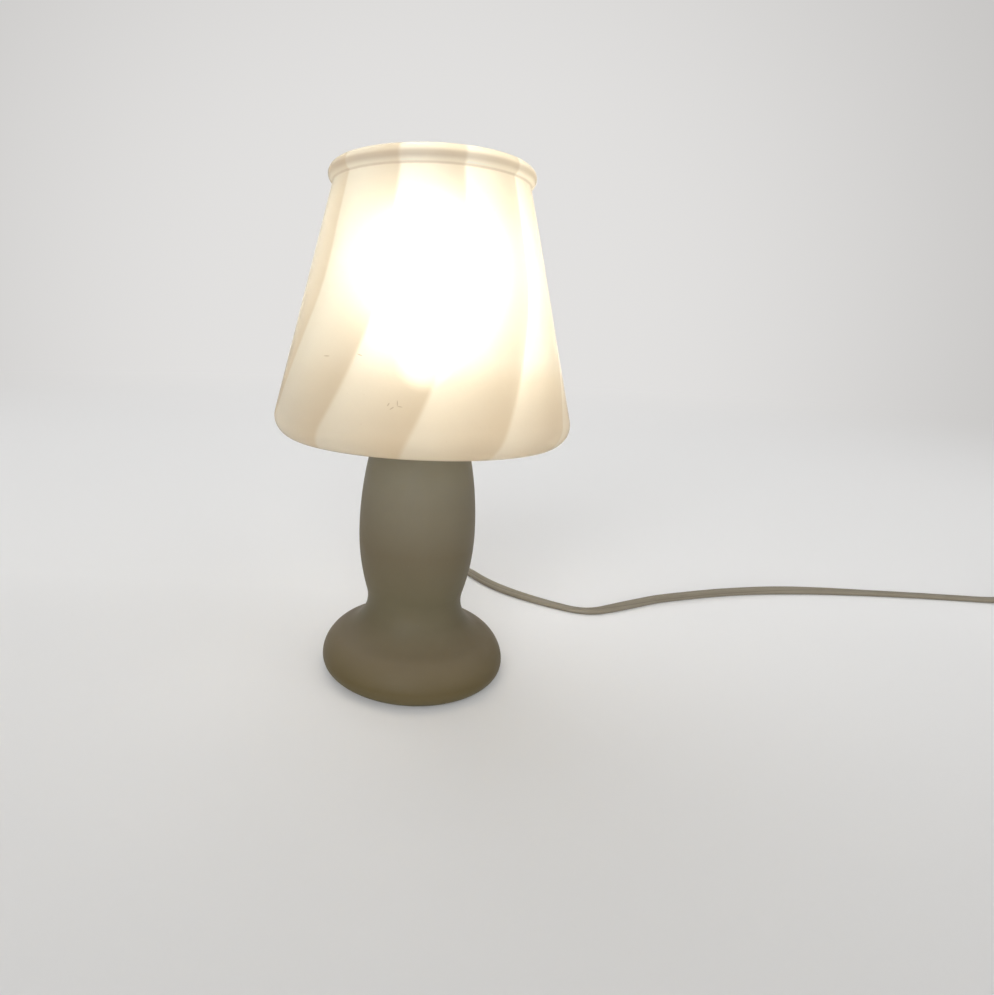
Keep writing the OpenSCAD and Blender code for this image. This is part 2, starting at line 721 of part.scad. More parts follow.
// Switch: two shells, a rocker on trunnions, and a see-saw contact bridge below it
switch_pivot_z = switch_base_h + switch_cover_h - pivot_drop;
rocker_keel = 2.5;
rocker_crown = pivot_drop - 0.4;
ear_gap = 0.4;
ear_t = 2.2;
bridge_z = switch_wall + bridge_rise;
bridge_w = 4.4;
bridge_t = 1;
bridge_pin_r = 1;
bridge_top = bridge_t + 0.2;
plunger_reach = switch_pivot_z - bridge_z - bridge_top - play;
dome_x = bridge_l / 2 - 1;
dome_r = 1.4;
dome_low = 0.4;
contact_z = bridge_z - dome_x * sin(bridge_swing / 2) - dome_low * cos(bridge_swing / 2)
    - dome_r * sin(bridge_swing / 2) - play;
boss_r = screw_r + 2;

module stadium(l, w) {
    square([l - w, w], center = true);
    for (side = [-1, 1]) translate([side * (l - w) / 2, 0]) circle(d = w);
}

// The space under the upper shell's arch, less a skin of the given thickness
module arch(in) {
    rotate([90, 0, 0]) linear_extrude(2 * switch_w, center = true) intersection() {
        translate([0, switch_base_h + switch_cover_h - switch_arch_r])
            circle(switch_arch_r - in, $fn = 360);
        translate([-switch_l, switch_base_h]) square([2 * switch_l, 2 * switch_cover_h]);
    }
}

module at_switch() {
    translate([switch_x, switch_y, 0]) children();
}

module switch_base() {
    color("#e9e4d6") at_switch() difference() {
        union() {
            difference() {
                linear_extrude(switch_base_h) stadium(switch_l, switch_w);
                translate([0, 0, switch_wall]) linear_extrude(switch_base_h)
                    stadium(switch_l - 2 * switch_wall, switch_w - 2 * switch_wall);
            }
            for (side = [-1, 1]) {
                translate([side * screw_x, 0, 0]) cylinder(r = boss_r, h = switch_base_h);
                translate([side * (switch_l / 2 - switch_wall), 0, switch_cord_z])
                    rotate([0, side * 90, 0]) cylinder(r = flex_w / 2 + 0.7, h = switch_wall + spout_l);
            }
        }
        for (side = [-1, 1]) translate([side * screw_x, 0, -1]) {
            cylinder(r = screw_r + slip, h = switch_base_h + 2);
            cylinder(r = screw_r + 1.5, h = 4);
        }
    }
}

module switch_cover() {
    color("#e9e4d6") at_switch() difference() {
        union() {
            difference() {
                intersection() {
                    translate([0, 0, switch_base_h]) linear_extrude(switch_cover_h)
                        stadium(switch_l, switch_w);
                    arch(0);
                }
                intersection() {
                    translate([0, 0, switch_base_h - 1]) linear_extrude(switch_cover_h)
                        stadium(switch_l - 2 * switch_wall, switch_w - 2 * switch_wall);
                    translate([0, 0, -0.01]) arch(switch_wall);
                }
            }
            intersection() {
                for (side = [-1, 1]) {
                    translate([side * screw_x, 0, switch_base_h])
                        cylinder(r = boss_r, h = switch_cover_h);
                    translate([0, side * (rocker_w / 2 + ear_gap + ear_t / 2), switch_pivot_z - 2.8])
                        translate([-2.8, -ear_t / 2, 0]) cube([5.6, ear_t, switch_cover_h]);
                }
                arch(0.5);
            }
        }
        translate([0, 0, switch_pivot_z]) rotate([90, 0, 0])
            cylinder(r = trunnion_r + running, h = rocker_w + 2 * ear_gap + 2 * ear_t + 1, center = true);
        translate([-rocker_l / 2 - ear_gap, -rocker_w / 2 - play, switch_pivot_z - 3])
            cube([rocker_l + 2 * ear_gap, rocker_w + 2 * play, switch_cover_h]);
        for (side = [-1, 1]) translate([side * screw_x, 0, switch_base_h - 1])
            cylinder(r = screw_r + slip, h = 5);
    }
}

// The rocker's ends are arcs about its pivot, so it keeps its room in the window as it tips.
// At rest its -X side is pressed: on.
module switch_rocker() {
    flank = rocker_crown + rocker_l * tan(rocker_swing / 2);
    color("#f4f0e4") at_switch() translate([0, 0, switch_pivot_z]) {
        rotate([90, 0, 0]) linear_extrude(rocker_w, center = true) rotate(rocker_swing / 2)
            intersection() {
                circle(d = rocker_l);
                polygon([[-rocker_l, -rocker_keel], [rocker_l, -rocker_keel], [rocker_l, flank],
                    [0, rocker_crown], [-rocker_l, flank]]);
            }
        rotate([90, 0, 0])
            cylinder(r = trunnion_r, h = rocker_w + 2 * ear_gap + 2 * ear_t - 0.6, center = true);
    }
}

module rocker_plunger() {
    color("#c0bfba") at_switch() translate([0, 0, switch_pivot_z]) rotate([0, -rocker_swing / 2, 0])
        translate([0, 0, -plunger_reach]) {
            translate([0, 0, 1.2]) cylinder(r = 1.2, h = plunger_reach - rocker_keel - 1.2);
            translate([0, 0, 1.2]) sphere(1.2, $fn = 48);
        }
}

module contact_bridge() {
    color("#d2a94a") at_switch() translate([0, 0, bridge_z]) rotate([0, bridge_swing / 2, 0]) {
        translate([-bridge_l / 2, -bridge_w / 2, bridge_top - bridge_t])
            cube([bridge_l, bridge_w, bridge_t]);
        translate([dome_x, 0, -dome_low]) cylinder(r = dome_r, h = dome_low + bridge_top);
        rotate([90, 0, 0])
            cylinder(r = bridge_pin_r, h = bridge_w + 2 * (ear_gap + ear_t) - 0.6, center = true);
    }
}

module bridge_saddle() {
    span = bridge_w + 2 * (ear_gap + ear_t);
    color("#d2a94a") at_switch() difference() {
        translate([-2, -span / 2, switch_wall]) cube([4, span, bridge_rise + bridge_pin_r + 0.6]);
        translate([-3, -bridge_w / 2 - ear_gap, switch_wall + 0.8])
            cube([6, bridge_w + 2 * ear_gap, 2 * bridge_rise]);
        translate([0, 0, bridge_z]) rotate([90, 0, 0])
            cylinder(r = bridge_pin_r + running, h = span + 2, center = true);
    }
}

module fixed_contact() {
    color("#d2a94a") at_switch() translate([0, -2, switch_wall]) {
        translate([dome_x - 1.5, 0, 0]) cube([8, 4, 0.8]);
        translate([dome_x - 1.5, 0, 0]) cube([3, 4, contact_z - switch_wall]);
    }
}

module switch_screw(side) {
    color("#b5b3ad") at_switch() translate([side * screw_x, 0, 0]) {
        translate([0, 0, 1.2]) cylinder(r = screw_r + 1.3, h = 1.8);
        translate([0, 0, 1.2]) cylinder(r = screw_r, h = switch_base_h + 2);
    }
}

module switch_screw_left() {
    switch_screw(-1);
}

module switch_screw_right() {
    switch_screw(1);
}

// Plug: a flat body that narrows towards the flex, lying on its side, pins towards -Y
module at_plug() {
    translate([coil_end[0], plug_y, plug_mid_z]) rotate([90, 0, 0]) children();
}

module plug_body() {
    bevel = plug_t / 4;
    half_w = plug_w / 2;
    half_t = plug_t / 2;
    color("#e9e4d6") at_plug() difference() {
        union() {
            intersection() {
                translate([0, half_t, 0]) rotate([90, 0, 0]) linear_extrude(plug_t)
                    polygon([[-plug_tail_w / 2, 0], [plug_tail_w / 2, 0], [half_w, plug_l * 0.6],
                        [half_w, plug_l], [-half_w, plug_l], [-half_w, plug_l * 0.6]]);
                linear_extrude(plug_l)
                    polygon([[-half_w, bevel - half_t], [bevel - half_w, -half_t],
                        [half_w - bevel, -half_t], [half_w, bevel - half_t], [half_w, half_t - bevel],
                        [half_w - bevel, half_t], [bevel - half_w, half_t], [-half_w, half_t - bevel]]);
            }
            for (side = [-1, 1]) translate([side * pin_gap / 2, 0, plug_l - 1])
                cylinder(r = pin_r, h = pin_sleeve_l + 1);
        }
        for (side = [-1, 1]) translate([side * pin_gap / 2, 0, plug_l - 4])
            cylinder(r = pin_r - 0.4, h = pin_l);
    }
}

module plug_relief() {
    color("#e9e4d6") at_plug() translate([0, 0, -relief_l])
        cylinder(r1 = flex_w / 2 + 0.5, r2 = plug_tail_w / 2 - 0.7, h = relief_l);
}

module plug_pin(side) {
    color("#c0bfba") at_plug() translate([side * pin_gap / 2, 0, plug_l]) {
        translate([0, 0, -4]) cylinder(r = pin_r - 0.45, h = 4 + pin_sleeve_l);
        translate([0, 0, pin_sleeve_l]) cylinder(r = pin_r, h = pin_l - pin_sleeve_l - pin_r);
        translate([0, 0, pin_l - pin_r]) sphere(pin_r, $fn = 48);
    }
}

module plug_pin_left() {
    plug_pin(-1);
}

module plug_pin_right() {
    plug_pin(1);
}

glass_base();
felt_pad();
neck_ring();
neck_cap();
crossbar();
tube_nut();
threaded_tube();
shade_bush();
shade_bowl();
glass_shade();
shade_lip();
shade_washer();
clamp_disc();
holder_base();
holder_sleeve();
terminal_block();
terminal_screw_live();
terminal_screw_neutral();
screw_shell();
centre_contact();
side_contact();
bulb_glass();
bulb_cap();
bulb_insulator();
bulb_tip();
bulb_stem();
bulb_filament();
inner_flex();
cord_bushing();
cord_lamp();
switch_base();
switch_cover();
switch_rocker();
rocker_plunger();
contact_bridge();
bridge_saddle();
fixed_contact();
switch_screw_left();
switch_screw_right();
cord_link();
cord_coil();
coil_tie();
cord_tail();
plug_body();
plug_relief();
plug_pin_left();
plug_pin_right();
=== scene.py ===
# Mushroom table lamp: the looks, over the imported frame. Metres, +Z up; millimetres are written times MM.
import math
from functools import partial

import bmesh
import bpy
from mathutils import Matrix, Vector


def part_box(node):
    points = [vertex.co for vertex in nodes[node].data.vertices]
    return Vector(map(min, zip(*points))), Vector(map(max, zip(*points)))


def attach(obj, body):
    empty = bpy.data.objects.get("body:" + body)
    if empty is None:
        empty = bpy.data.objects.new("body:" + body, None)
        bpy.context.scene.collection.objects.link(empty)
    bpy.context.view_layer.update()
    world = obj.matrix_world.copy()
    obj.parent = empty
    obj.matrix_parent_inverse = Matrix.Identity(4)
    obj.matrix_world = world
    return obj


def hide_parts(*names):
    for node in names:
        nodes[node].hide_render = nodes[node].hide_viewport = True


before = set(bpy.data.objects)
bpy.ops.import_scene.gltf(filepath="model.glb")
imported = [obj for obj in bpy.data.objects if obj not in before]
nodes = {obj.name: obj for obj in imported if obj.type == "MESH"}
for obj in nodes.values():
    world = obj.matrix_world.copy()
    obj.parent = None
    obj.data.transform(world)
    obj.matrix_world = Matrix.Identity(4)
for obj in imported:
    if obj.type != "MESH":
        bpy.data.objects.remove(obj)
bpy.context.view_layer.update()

MM = 0.001
scene = bpy.context.scene
finishes = {}


def linked(name, data):
    """A new object in the scene."""
    made = bpy.data.objects.new(name, data)
    scene.collection.objects.link(made)
    return made


# Camera

PICTURE = 995  # the photograph's longer side in pixels
FOCAL = 640.03  # the lens and the frame's shift in the same pixels
SHIFT_X, SHIFT_Y = 85, -72.5
SENSOR = 36
NEAREST = 0.01
EYE = (0, -0.33073, 0.17775)
YAW, PITCH, ROLL = (math.radians(turn) for turn in (-0.857, 7.922, 2.338))


def place_camera():
    """The photograph's own view: a phone lens in front of the lamp, a little above its middle."""
    ahead = Vector((math.sin(YAW) * math.cos(PITCH), math.cos(YAW) * math.cos(PITCH), -math.sin(PITCH)))
    right = Vector((math.cos(YAW), -math.sin(YAW), 0))
    up = right.cross(ahead)
    across = right * math.cos(ROLL) + up * math.sin(ROLL)
    upward = up * math.cos(ROLL) - right * math.sin(ROLL)
    eye = linked("eye", bpy.data.cameras.new("eye"))
    eye.data.sensor_width = SENSOR
    eye.data.lens = FOCAL / PICTURE * SENSOR
    eye.data.shift_x = SHIFT_X / PICTURE
    eye.data.shift_y = SHIFT_Y / PICTURE
    eye.data.clip_start = NEAREST
    turn = Matrix((across, upward, -ahead)).transposed().to_4x4()
    eye.matrix_world = Matrix.Translation(EYE) @ turn
    scene.camera = eye


# Pieces

WELD, CAD_WELD = 1e-6, 2e-6  # points this near are one, in new meshes and in copies of the CAD's
CAD_FLAT = math.radians(0.6)  # CAD faces that turn less than this are one
HARD_EDGE = math.radians(40)  # edges that turn more than this are rounded
CRISP_EDGE = math.radians(35)  # edges that turn more than this stay crisp in the shading
TUBE_EDGE = math.radians(60)
EDGE_STEPS = 3


def polar(radius, degrees):
    return Vector((radius * math.cos(math.radians(degrees)), radius * math.sin(math.radians(degrees))))


def piece(name, mesh, slot, body="lamp", replaced=()):
    """A finished mesh, dressed, riding on a body and standing for its CAD nodes."""
    mesh.name = name
    mesh.materials.clear()
    mesh.materials.append(finishes[slot])
    made = linked(name, mesh)
    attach(made, body)
    if replaced:
        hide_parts(*replaced)
    return made


def evaluated(holder):
    """The plain mesh that an object's modifiers make; the object goes."""
    bpy.context.view_layer.update()
    graph = bpy.context.evaluated_depsgraph_get()
    mesh = bpy.data.meshes.new_from_object(holder.evaluated_get(graph))
    bpy.data.objects.remove(holder)
    return mesh


def outward(mesh):
    """Welds a mesh, turns its faces outwards and shades it smooth."""
    work = bmesh.new()
    work.from_mesh(mesh)
    bmesh.ops.remove_doubles(work, verts=work.verts, dist=WELD)
    bmesh.ops.recalc_face_normals(work, faces=work.faces)
    if work.calc_volume(signed=True) < 0:
        bmesh.ops.reverse_faces(work, faces=work.faces)
    work.to_mesh(mesh)
    work.free()
    mesh.shade_smooth()
    return mesh


def softened(node, name, slot, radius, body="lamp", shortest=0.0):
    """A moulded copy of a CAD node: welded, and its hard edges rounded if they are longer than shortest."""
    mesh = nodes[node].data.copy()
    if "custom_normal" in mesh.attributes:
        mesh.attributes.remove(mesh.attributes["custom_normal"])
    work = bmesh.new()
    work.from_mesh(mesh)
    bmesh.ops.remove_doubles(work, verts=work.verts, dist=CAD_WELD)
    bmesh.ops.dissolve_limit(work, angle_limit=CAD_FLAT, verts=work.verts, edges=work.edges)
    hard = work.edges.layers.float.new("bevel_weight_edge")
    for edge in work.edges:
        if edge.calc_face_angle(0.0) > HARD_EDGE and edge.calc_length() > shortest:
            edge[hard] = 1.0
    work.to_mesh(mesh)
    work.free()
    holder = linked("moulding", mesh)
    rounded = holder.modifiers.new("rounded", "BEVEL")
    rounded.width = radius
    rounded.segments = EDGE_STEPS
    rounded.limit_method = "WEIGHT"
    rounded.use_clamp_overlap = True
    mesh = evaluated(holder)
    mesh.shade_smooth()
    mesh.set_sharp_from_angle(angle=CRISP_EDGE)
    return piece(name, mesh, slot, body, (node,))


# Flex, with all its sizes and places in millimetres

FLEX_W = 5.8
FLEX_T = 3.4
LIE = 0.1  # the flex lies this far over the table
FLEX_STEP = 1.6  # about the distance from ring to ring
VALLEY = [(0.28, 0.86), (0.75, 0.965)]  # across from the middle, and the share of the half thickness

LOOP, LOOP_R = Vector((20.5, 122)), 24
LOOP_ROLL, LOOP_EASE = 5, 4.2  # the roll where the loop starts, and the degrees of turn that add one to it
SWITCH_X, SWITCH_Y, ROCKER_Z = 500, 128, 14
COIL_X, COIL_Y = 505, 39
COIL_TURNS, COIL_STEPS = 5.25, 24
COIL_INNER, COIL_GROWTH = 23.4, 6.5  # the smallest turn, and how much each turn grows
COIL_LOW, COIL_LIFT = 2.8, 4.1  # the lower layer, and how far the upper one lies over it
COIL_OUTER = COIL_INNER + COIL_GROWTH * COIL_TURNS / 2
LINK_X, LINK_Y = 551, COIL_Y + COIL_OUTER
PLUG_X, PLUG_Y, PLUG_Z = COIL_X - COIL_OUTER, -14, 6.8

# Routes as in the part's source: x, y and z, and the roll in degrees. Those on the table leave out z.
LAMP_START = [(0, 70.7, 11, 0), (0, 76.5, 11, 0), (0, 85, 9.9, 0), (0, 93, 6.4, 0), (-1, 101, 3.1, 0)]
TABLE_START = (-3, 110, 0)
TABLE_RUN = [
    (49, 121, 40), (58, 109, 38), (68, 99.5, 30), (78, 92, 20), (88, 85.8, 10), (98, 80.3, 3), (106, 76.6, 0),
    (114, 75, 3), (122, 76, 12), (131, 79.5, 28), (142, 84.5, 50), (155, 91, 70), (168, 97.5, 82),
    (182, 103, 90), (195, 107.5, 90), (208, 111.8, 90), (222, 116, 90), (245, 121.5, 85), (270, 126, 60),
    (300, 129.5, 30), (335, 131, 8), (370, 131, 0), (405, 129.5, 0)]
LAMP_END = [(425, 128.4, 2, 0), (441, 128, 3.5, 0), (458.2, 128, 5.2, 0), (464, 128, 5.2, 0)]
LINK_START = [(536, 128, 5.2, 0), (541.8, 128, 5.2, 0)]
LINK_HEIGHTS = (4.4, 3.3, 2.4, 2.1, 1.8, 1.83, 1.87, 1.9, 2.05, 2.2)
LINK_END = [(538, LINK_Y, 2.5, 0), (526, LINK_Y, 2.8, 0), (510.8, LINK_Y, 2.8, 0)]
TAIL_ROUTE = [(PLUG_X, 26, 6.9, 0), (PLUG_X, 18, 6.8, 0), (PLUG_X, 10, 6.8, 0)]
INNER_ROUTE = [
    (0, 41.4, 11, 0), (0, 35.6, 11, 0), (0, 27, 11.6, 0), (0, 19.5, 14.5, 0), (0, 14.5, 20, 0),
    (0, 11, 28, 0), (0, 8.5, 38, 0), (0, 5.5, 54, 0), (0, 2.5, 74, 0), (0, 0, 96, 0), (0, 0, 110, 0),
    (0, 0, 146, 0)]


def lamp_route():
    """Out of the foot, round a loop behind it and along the table to the switch."""
    loop = [(*(LOOP + polar(LOOP_R, turn)), LOOP_ROLL + (180 - turn) / LOOP_EASE)
            for turn in range(180, 32, -21)]
    table = []
    for x, y, roll in [TABLE_START, *loop, *TABLE_RUN]:
        height = (FLEX_W - FLEX_T) / 2 * math.sin(math.radians(roll)) + FLEX_T / 2 + LIE
        table.append((x, y, height, roll))
    return LAMP_START + table + LAMP_END


def link_route():
    """Out of the switch and round a half turn to the coil."""
    radius = (SWITCH_Y - LINK_Y) / 2
    middle = Vector((LINK_X, SWITCH_Y - radius))
    turns = zip(range(90, -91, -20), LINK_HEIGHTS)
    return LINK_START + [(*(middle + polar(radius, turn)), z, 0) for turn, z in turns] + LINK_END


def coil_route():
    """Inwards along the lower layer of the coil, and outwards again over it."""
    points = []
    for step in range(int(COIL_TURNS * COIL_STEPS) + 1):
        turns = step / COIL_STEPS
        past = turns - COIL_TURNS / 2
        climb = min(max(2 * past + 0.5, 0), 1)
        spot = polar(COIL_INNER + COIL_GROWTH * abs(past), 90 + 360 * turns)
        height = COIL_LOW + COIL_LIFT * climb * climb * (3 - 2 * climb)
        points.append((COIL_X + spot.x, COIL_Y + spot.y, height, 0))
    return points


def smooth_run(route):
    """A smooth curve through the route's points, about evenly spaced."""
    points = [Vector(p) for p in route]
    points = [points[0] * 2 - points[1]] + points + [points[-1] * 2 - points[-2]]
    run = []
    for a, b, c, d in zip(points, points[1:], points[2:], points[3:]):
        k1, k2, k3 = (max((q - p).xyz.length, 1e-6) ** 0.5 for p, q in ((a, b), (b, c), (c, d)))
        lead = (c - b) / k2 - (c - a) / (k1 + k2) + (b - a) / k1
        tail = (d - c) / k3 - (d - b) / (k2 + k3) + (c - b) / k2
        parts = max(1, round((c - b).xyz.length / FLEX_STEP))
        for i in range(parts):
            s = i / parts
            run.append(b * (2 * s**3 - 3 * s**2 + 1) + c * (3 * s**2 - 2 * s**3)
                       + (lead * (s**3 - 2 * s**2 + s) + tail * (s**3 - s**2)) * k2)
    return run + [points[-2]]


def flex_section():
    """Two cores side by side with a shallow valley between them, in the flex's own width and thickness."""
    core = FLEX_T / 2
    side = [Vector((FLEX_W / 2 - core, 0)) + polar(core, 15 * i - 75) for i in range(11)]
    valley = [(x, core * share) for x, share in VALLEY]
    half = [(x, -y) for x, y in valley] + side + valley[::-1]
    return half + [(-x, -y) for x, y in half]


def tube_mesh(rings, lengths):
    """A closed tube through rings of points. Its UV map goes once round each ring, and along in metres."""
    count, last = len(rings[0]), len(rings) - 1
    faces = []
    for start in range(0, last * count, count):
        for k in range(count):
            after = (k + 1) % count
            faces.append([start + k, start + after, start + count + after, start + count + k])
    faces += [list(range(count))[::-1], [last * count + k for k in range(count)]]
    mesh = bpy.data.meshes.new("tube")
    mesh.from_pydata([point for ring in rings for point in ring], [], faces)
    along = mesh.uv_layers.new(name="along")
    for face in mesh.polygons:
        closing = face.index < last * count and face.index % count == count - 1
        for corner in face.loop_indices:
            ring, k = divmod(mesh.loops[corner].vertex_index, count)
            along.data[corner].uv = (1.0 if closing and k == 0 else k / count, lengths[ring])
    outward(mesh)
    mesh.set_sharp_from_angle(angle=TUBE_EDGE)
    return mesh


def flex_piece(name, route, *replaced):
    """The twin section along a route: the piece, its length and the path of its middle, in metres."""
    run = smooth_run(route)
    section = flex_section()
    rings, lengths = [], [0.0]
    for i, here in enumerate(run):
        ahead = (run[min(i + 1, len(run) - 1)] - run[max(i - 1, 0)]).xyz.normalized()
        upright = abs(ahead.z) > 0.999
        side = Vector((1, 0, 0)) if upright else Vector((0, 0, 1)).cross(ahead).normalized()
        over = ahead.cross(side)
        roll = math.radians(here[3])
        wide = side * math.cos(roll) + over * math.sin(roll)
        lip_shade = over * math.cos(roll) - side * math.sin(roll)
        rings.append([(here.xyz + wide * x + lip_shade * y) * MM for x, y in section])
        if i:
            lengths.append(lengths[-1] + (here - run[i - 1]).xyz.length * MM)
    made = piece(name, tube_mesh(rings, lengths), "flex", replaced=replaced)
    return made, lengths[-1], [p.xyz * MM for p in run]


def lay_flex():
    """The lead to the switch, the coiled lead to the plug, and the flex inside the base."""
    lead, length, path = flex_piece("flex_to_switch", lamp_route(), "cord_lamp")
    route = link_route() + coil_route() + TAIL_ROUTE
    lead, length, path = flex_piece("flex_to_plug", route, "cord_link", "cord_coil", "cord_tail")
    flex_piece("flex_inside", INNER_ROUTE, "inner_flex")


# Node trees

def wire(socket, value):
    """Gives a socket a link or a value."""
    if isinstance(value, bpy.types.NodeSocket):
        socket.id_data.links.new(value, socket)
    else:
        socket.default_value = value


def add(tree, kind, inputs=None, **settings):
    """The outputs of a new node with its settings and inputs."""
    made = tree.nodes.new(kind)
    for key, value in settings.items():
        setattr(made, key, value)
    for key, value in (inputs or {}).items():
        wire(made.inputs[key], value)
    return made.outputs


def fed(kind, inputs, **settings):
    """The outputs of a new node in the tree that its inputs come from."""
    tree = next(value.id_data for value in inputs.values() if isinstance(value, bpy.types.NodeSocket))
    return add(tree, kind, inputs, **settings)


def calc(operation, *values):
    return fed("ShaderNodeMath", dict(enumerate(values)), operation=operation)[0]


def chain(operation, first, *others):
    """One operation on several values, from left to right."""
    for other in others:
        first = calc(operation, first, other)
    return first


times = partial(chain, "MULTIPLY")
plus = partial(chain, "ADD")
minus = partial(chain, "SUBTRACT")
most = partial(chain, "MAXIMUM")


def split(vector):
    return fed("ShaderNodeSeparateXYZ", {0: vector})


def joined(**axes):
    return fed("ShaderNodeCombineXYZ", axes)[0]


def rise(value, low, high, start=0.0, end=1.0, ease="SMOOTHSTEP"):
    """A step from start to end while a value goes from low to high."""
    inputs = {0: value, 1: low, 2: high, 3: start, 4: end}
    return fed("ShaderNodeMapRange", inputs, interpolation_type=ease)[0]


def band(value, start, full, fading, end):
    """1 from full to fading, and 0 before start and after end."""
    return times(rise(value, start, full), rise(value, fading, end, 1.0, 0.0))


def noise(place, scale, **more):
    return fed("ShaderNodeTexNoise", {"Vector": place, "Scale": scale, **more})[0]


def cells(place, scale):
    return fed("ShaderNodeTexVoronoi", {"Vector": place, "Scale": scale})


def mixed(factor, first, second, kind="MIX"):
    """A mix of two colours, which are the node's inputs 6 and 7 and its output 2."""
    inputs = {0: factor, 6: first, 7: second}
    return fed("ShaderNodeMix", inputs, data_type="RGBA", blend_type=kind)[2]


def tone(red, green, blue):
    """An sRGB colour from 0 to 255, as linear RGBA."""
    line = [c / 255 / 12.92 if c <= 10.3 else ((c / 255 + 0.055) / 1.055) ** 2.4 for c in (red, green, blue)]
    return (*line, 1.0)


def stained(colour, mask, share, stain):
    """A colour that takes on a share of a stain where a mask says."""
    return mixed(times(mask, share), colour, tone(*stain))


def ramp(value, stops):
    """Colours in a row, blended along a value from 0 to 1."""
    made = fed("ShaderNodeValToRGB", {0: value})[0]
    elements = made.node.color_ramp.elements
    for place, _ in stops[1:-1]:
        elements.new(place)
    for element, (place, colour) in zip(elements, stops):
        element.position, element.color = place, tone(*colour)
    return made


def new_tree(name, kind, inputs, outputs):
    """An empty tree whose inputs have a type or a starting value, with its input and output sockets."""
    tree = bpy.data.node_groups.new(name, kind)
    for label, given in inputs.items():
        socket = given if isinstance(given, str) else {int: "Int", float: "Float"}[type(given)]
        made = tree.interface.new_socket(label, in_out="INPUT", socket_type="NodeSocket" + socket)
        if socket != given:
            made.default_value = given
    for label, socket in outputs.items():
        tree.interface.new_socket(label, in_out="OUTPUT", socket_type="NodeSocket" + socket)
    return tree, tree.nodes.new("NodeGroupInput").outputs, tree.nodes.new("NodeGroupOutput").inputs


# Effects that the finishes share

# The swirl's bands round the shade, their lean in radians a metre, its limit, and where the first starts.
SWIRL_SIZES = {"Bands": 11.0, "Twist": 6.0, "Full turn": 0.375, "Start": -0.061}
SWIRL_FOOT = 138 * MM  # the bands lean from this height on
SWIRL_EASE = 0.12


def effect_tree(name, inputs, *outputs):
    inputs = {"Vector": "Vector", **inputs}
    return new_tree(name, "ShaderNodeTree", inputs, dict.fromkeys(outputs, "Float"))


def swirl_saw(given, angle, height, drift=0.0):
    """How far across its band of the swirl a point lies, from 0 to 1."""
    lean = times(minus(height, SWIRL_FOOT), given["Twist"])
    lean = calc("SMOOTH_MIN", lean, given["Full turn"], SWIRL_EASE)
    turn = plus(minus(angle, given["Start"], lean), drift)
    return calc("FRACT", times(turn, calc("DIVIDE", given["Bands"], math.tau)))


def swirl_tree():
    """The shade's blown swirl: bands that fade to one side and end in a crisp edge."""
    tree, given, out = effect_tree("blown_swirl", {
        **SWIRL_SIZES, "Softness": 0.08, "Drift": 0.16, "Drift scale": 9.0}, "Fade")
    place = split(given["Vector"])
    angle = calc("ARCTAN2", place["X"], times(place["Y"], -1.0))
    drift = minus(noise(given["Vector"], given["Drift scale"], Detail=1.0), 0.5)
    saw = swirl_saw(given, angle, place["Z"], times(drift, given["Drift"]))
    close = rise(saw, minus(1.0, given["Softness"]), 1.0, 1.0, 0.0)
    wire(out["Fade"], times(saw, close))
    return tree


def mottle_tree():
    """Slow uneven colour: a broad patch with a finer one on top."""
    tree, given, out = effect_tree("mottle", {"Scale": 40.0, "Contrast": 0.5}, "Factor")
    broad = noise(given["Vector"], given["Scale"], Detail=3.0)
    fine = noise(given["Vector"], times(given["Scale"], 7.0), Detail=2.0)
    both = plus(times(broad, 0.7), times(fine, 0.3))
    half = times(given["Contrast"], 0.5)
    wire(out["Factor"], rise(both, minus(0.5, half), plus(0.5, half)))
    return tree


def grain_tree():
    """Fine surface texture as a height: pits between soft bumps."""
    tree, given, out = effect_tree("fine_grain", {"Scale": 1500.0, "Pits": 0.4}, "Height")
    soft = noise(given["Vector"], given["Scale"], Detail=2.0)
    pit = rise(cells(given["Vector"], given["Scale"])["Distance"], 0.0, 0.5)
    wire(out["Height"], plus(soft, times(pit, given["Pits"])))
    return tree


def marks_tree():
    """Where hands and dust have been: smudges and small specks, as masks."""
    tree, given, out = effect_tree("handling_marks", {"Scale": 30.0, "Specks": 0.5}, "Smudge", "Speck")
    cloud = noise(given["Vector"], given["Scale"], Detail=5.0, Roughness=0.62, Distortion=0.6)
    wire(out["Smudge"], rise(cloud, 0.42, 0.72))
    dots = cells(given["Vector"], times(given["Scale"], 12.0))
    dot = rise(dots["Distance"], 0.05, 0.13, 1.0, 0.0)
    some = rise(fed("ShaderNodeSeparateColor", {0: dots["Color"]})[0], 0.7, 0.9)
    wire(out["Speck"], times(dot, some, given["Specks"]))
    return tree


def spot_tree():
    """One oval spot on the front of the shade, as a mask."""
    tree, given, out = effect_tree("front_spot", {
        "Across": 0.0, "Height": 150 * MM, "Length": 1 * MM, "Width": 0.3 * MM, "Turn": 0.0}, "Mask")
    place = split(given["Vector"])
    aside = minus(place["X"], given["Across"])
    above = minus(place["Z"], given["Height"])
    turn, tip = calc("COSINE", given["Turn"]), calc("SINE", given["Turn"])
    along = plus(times(aside, turn), times(above, tip))
    over = minus(times(above, turn), times(aside, tip))
    shares = (calc("DIVIDE", along, given["Length"]), calc("DIVIDE", over, given["Width"]))
    spot = rise(plus(*(calc("POWER", share, 2.0) for share in shares)), 0.2, 1.0, 1.0, 0.0)
    wire(out["Mask"], times(spot, calc("LESS_THAN", place["Y"], 0.0)))
    return tree


SWIRL = swirl_tree()
MOTTLE = mottle_tree()
GRAIN = grain_tree()
MARKS = marks_tree()
SPOT = spot_tree()


def use(group, **values):
    return fed("ShaderNodeGroup", values, node_tree=group)
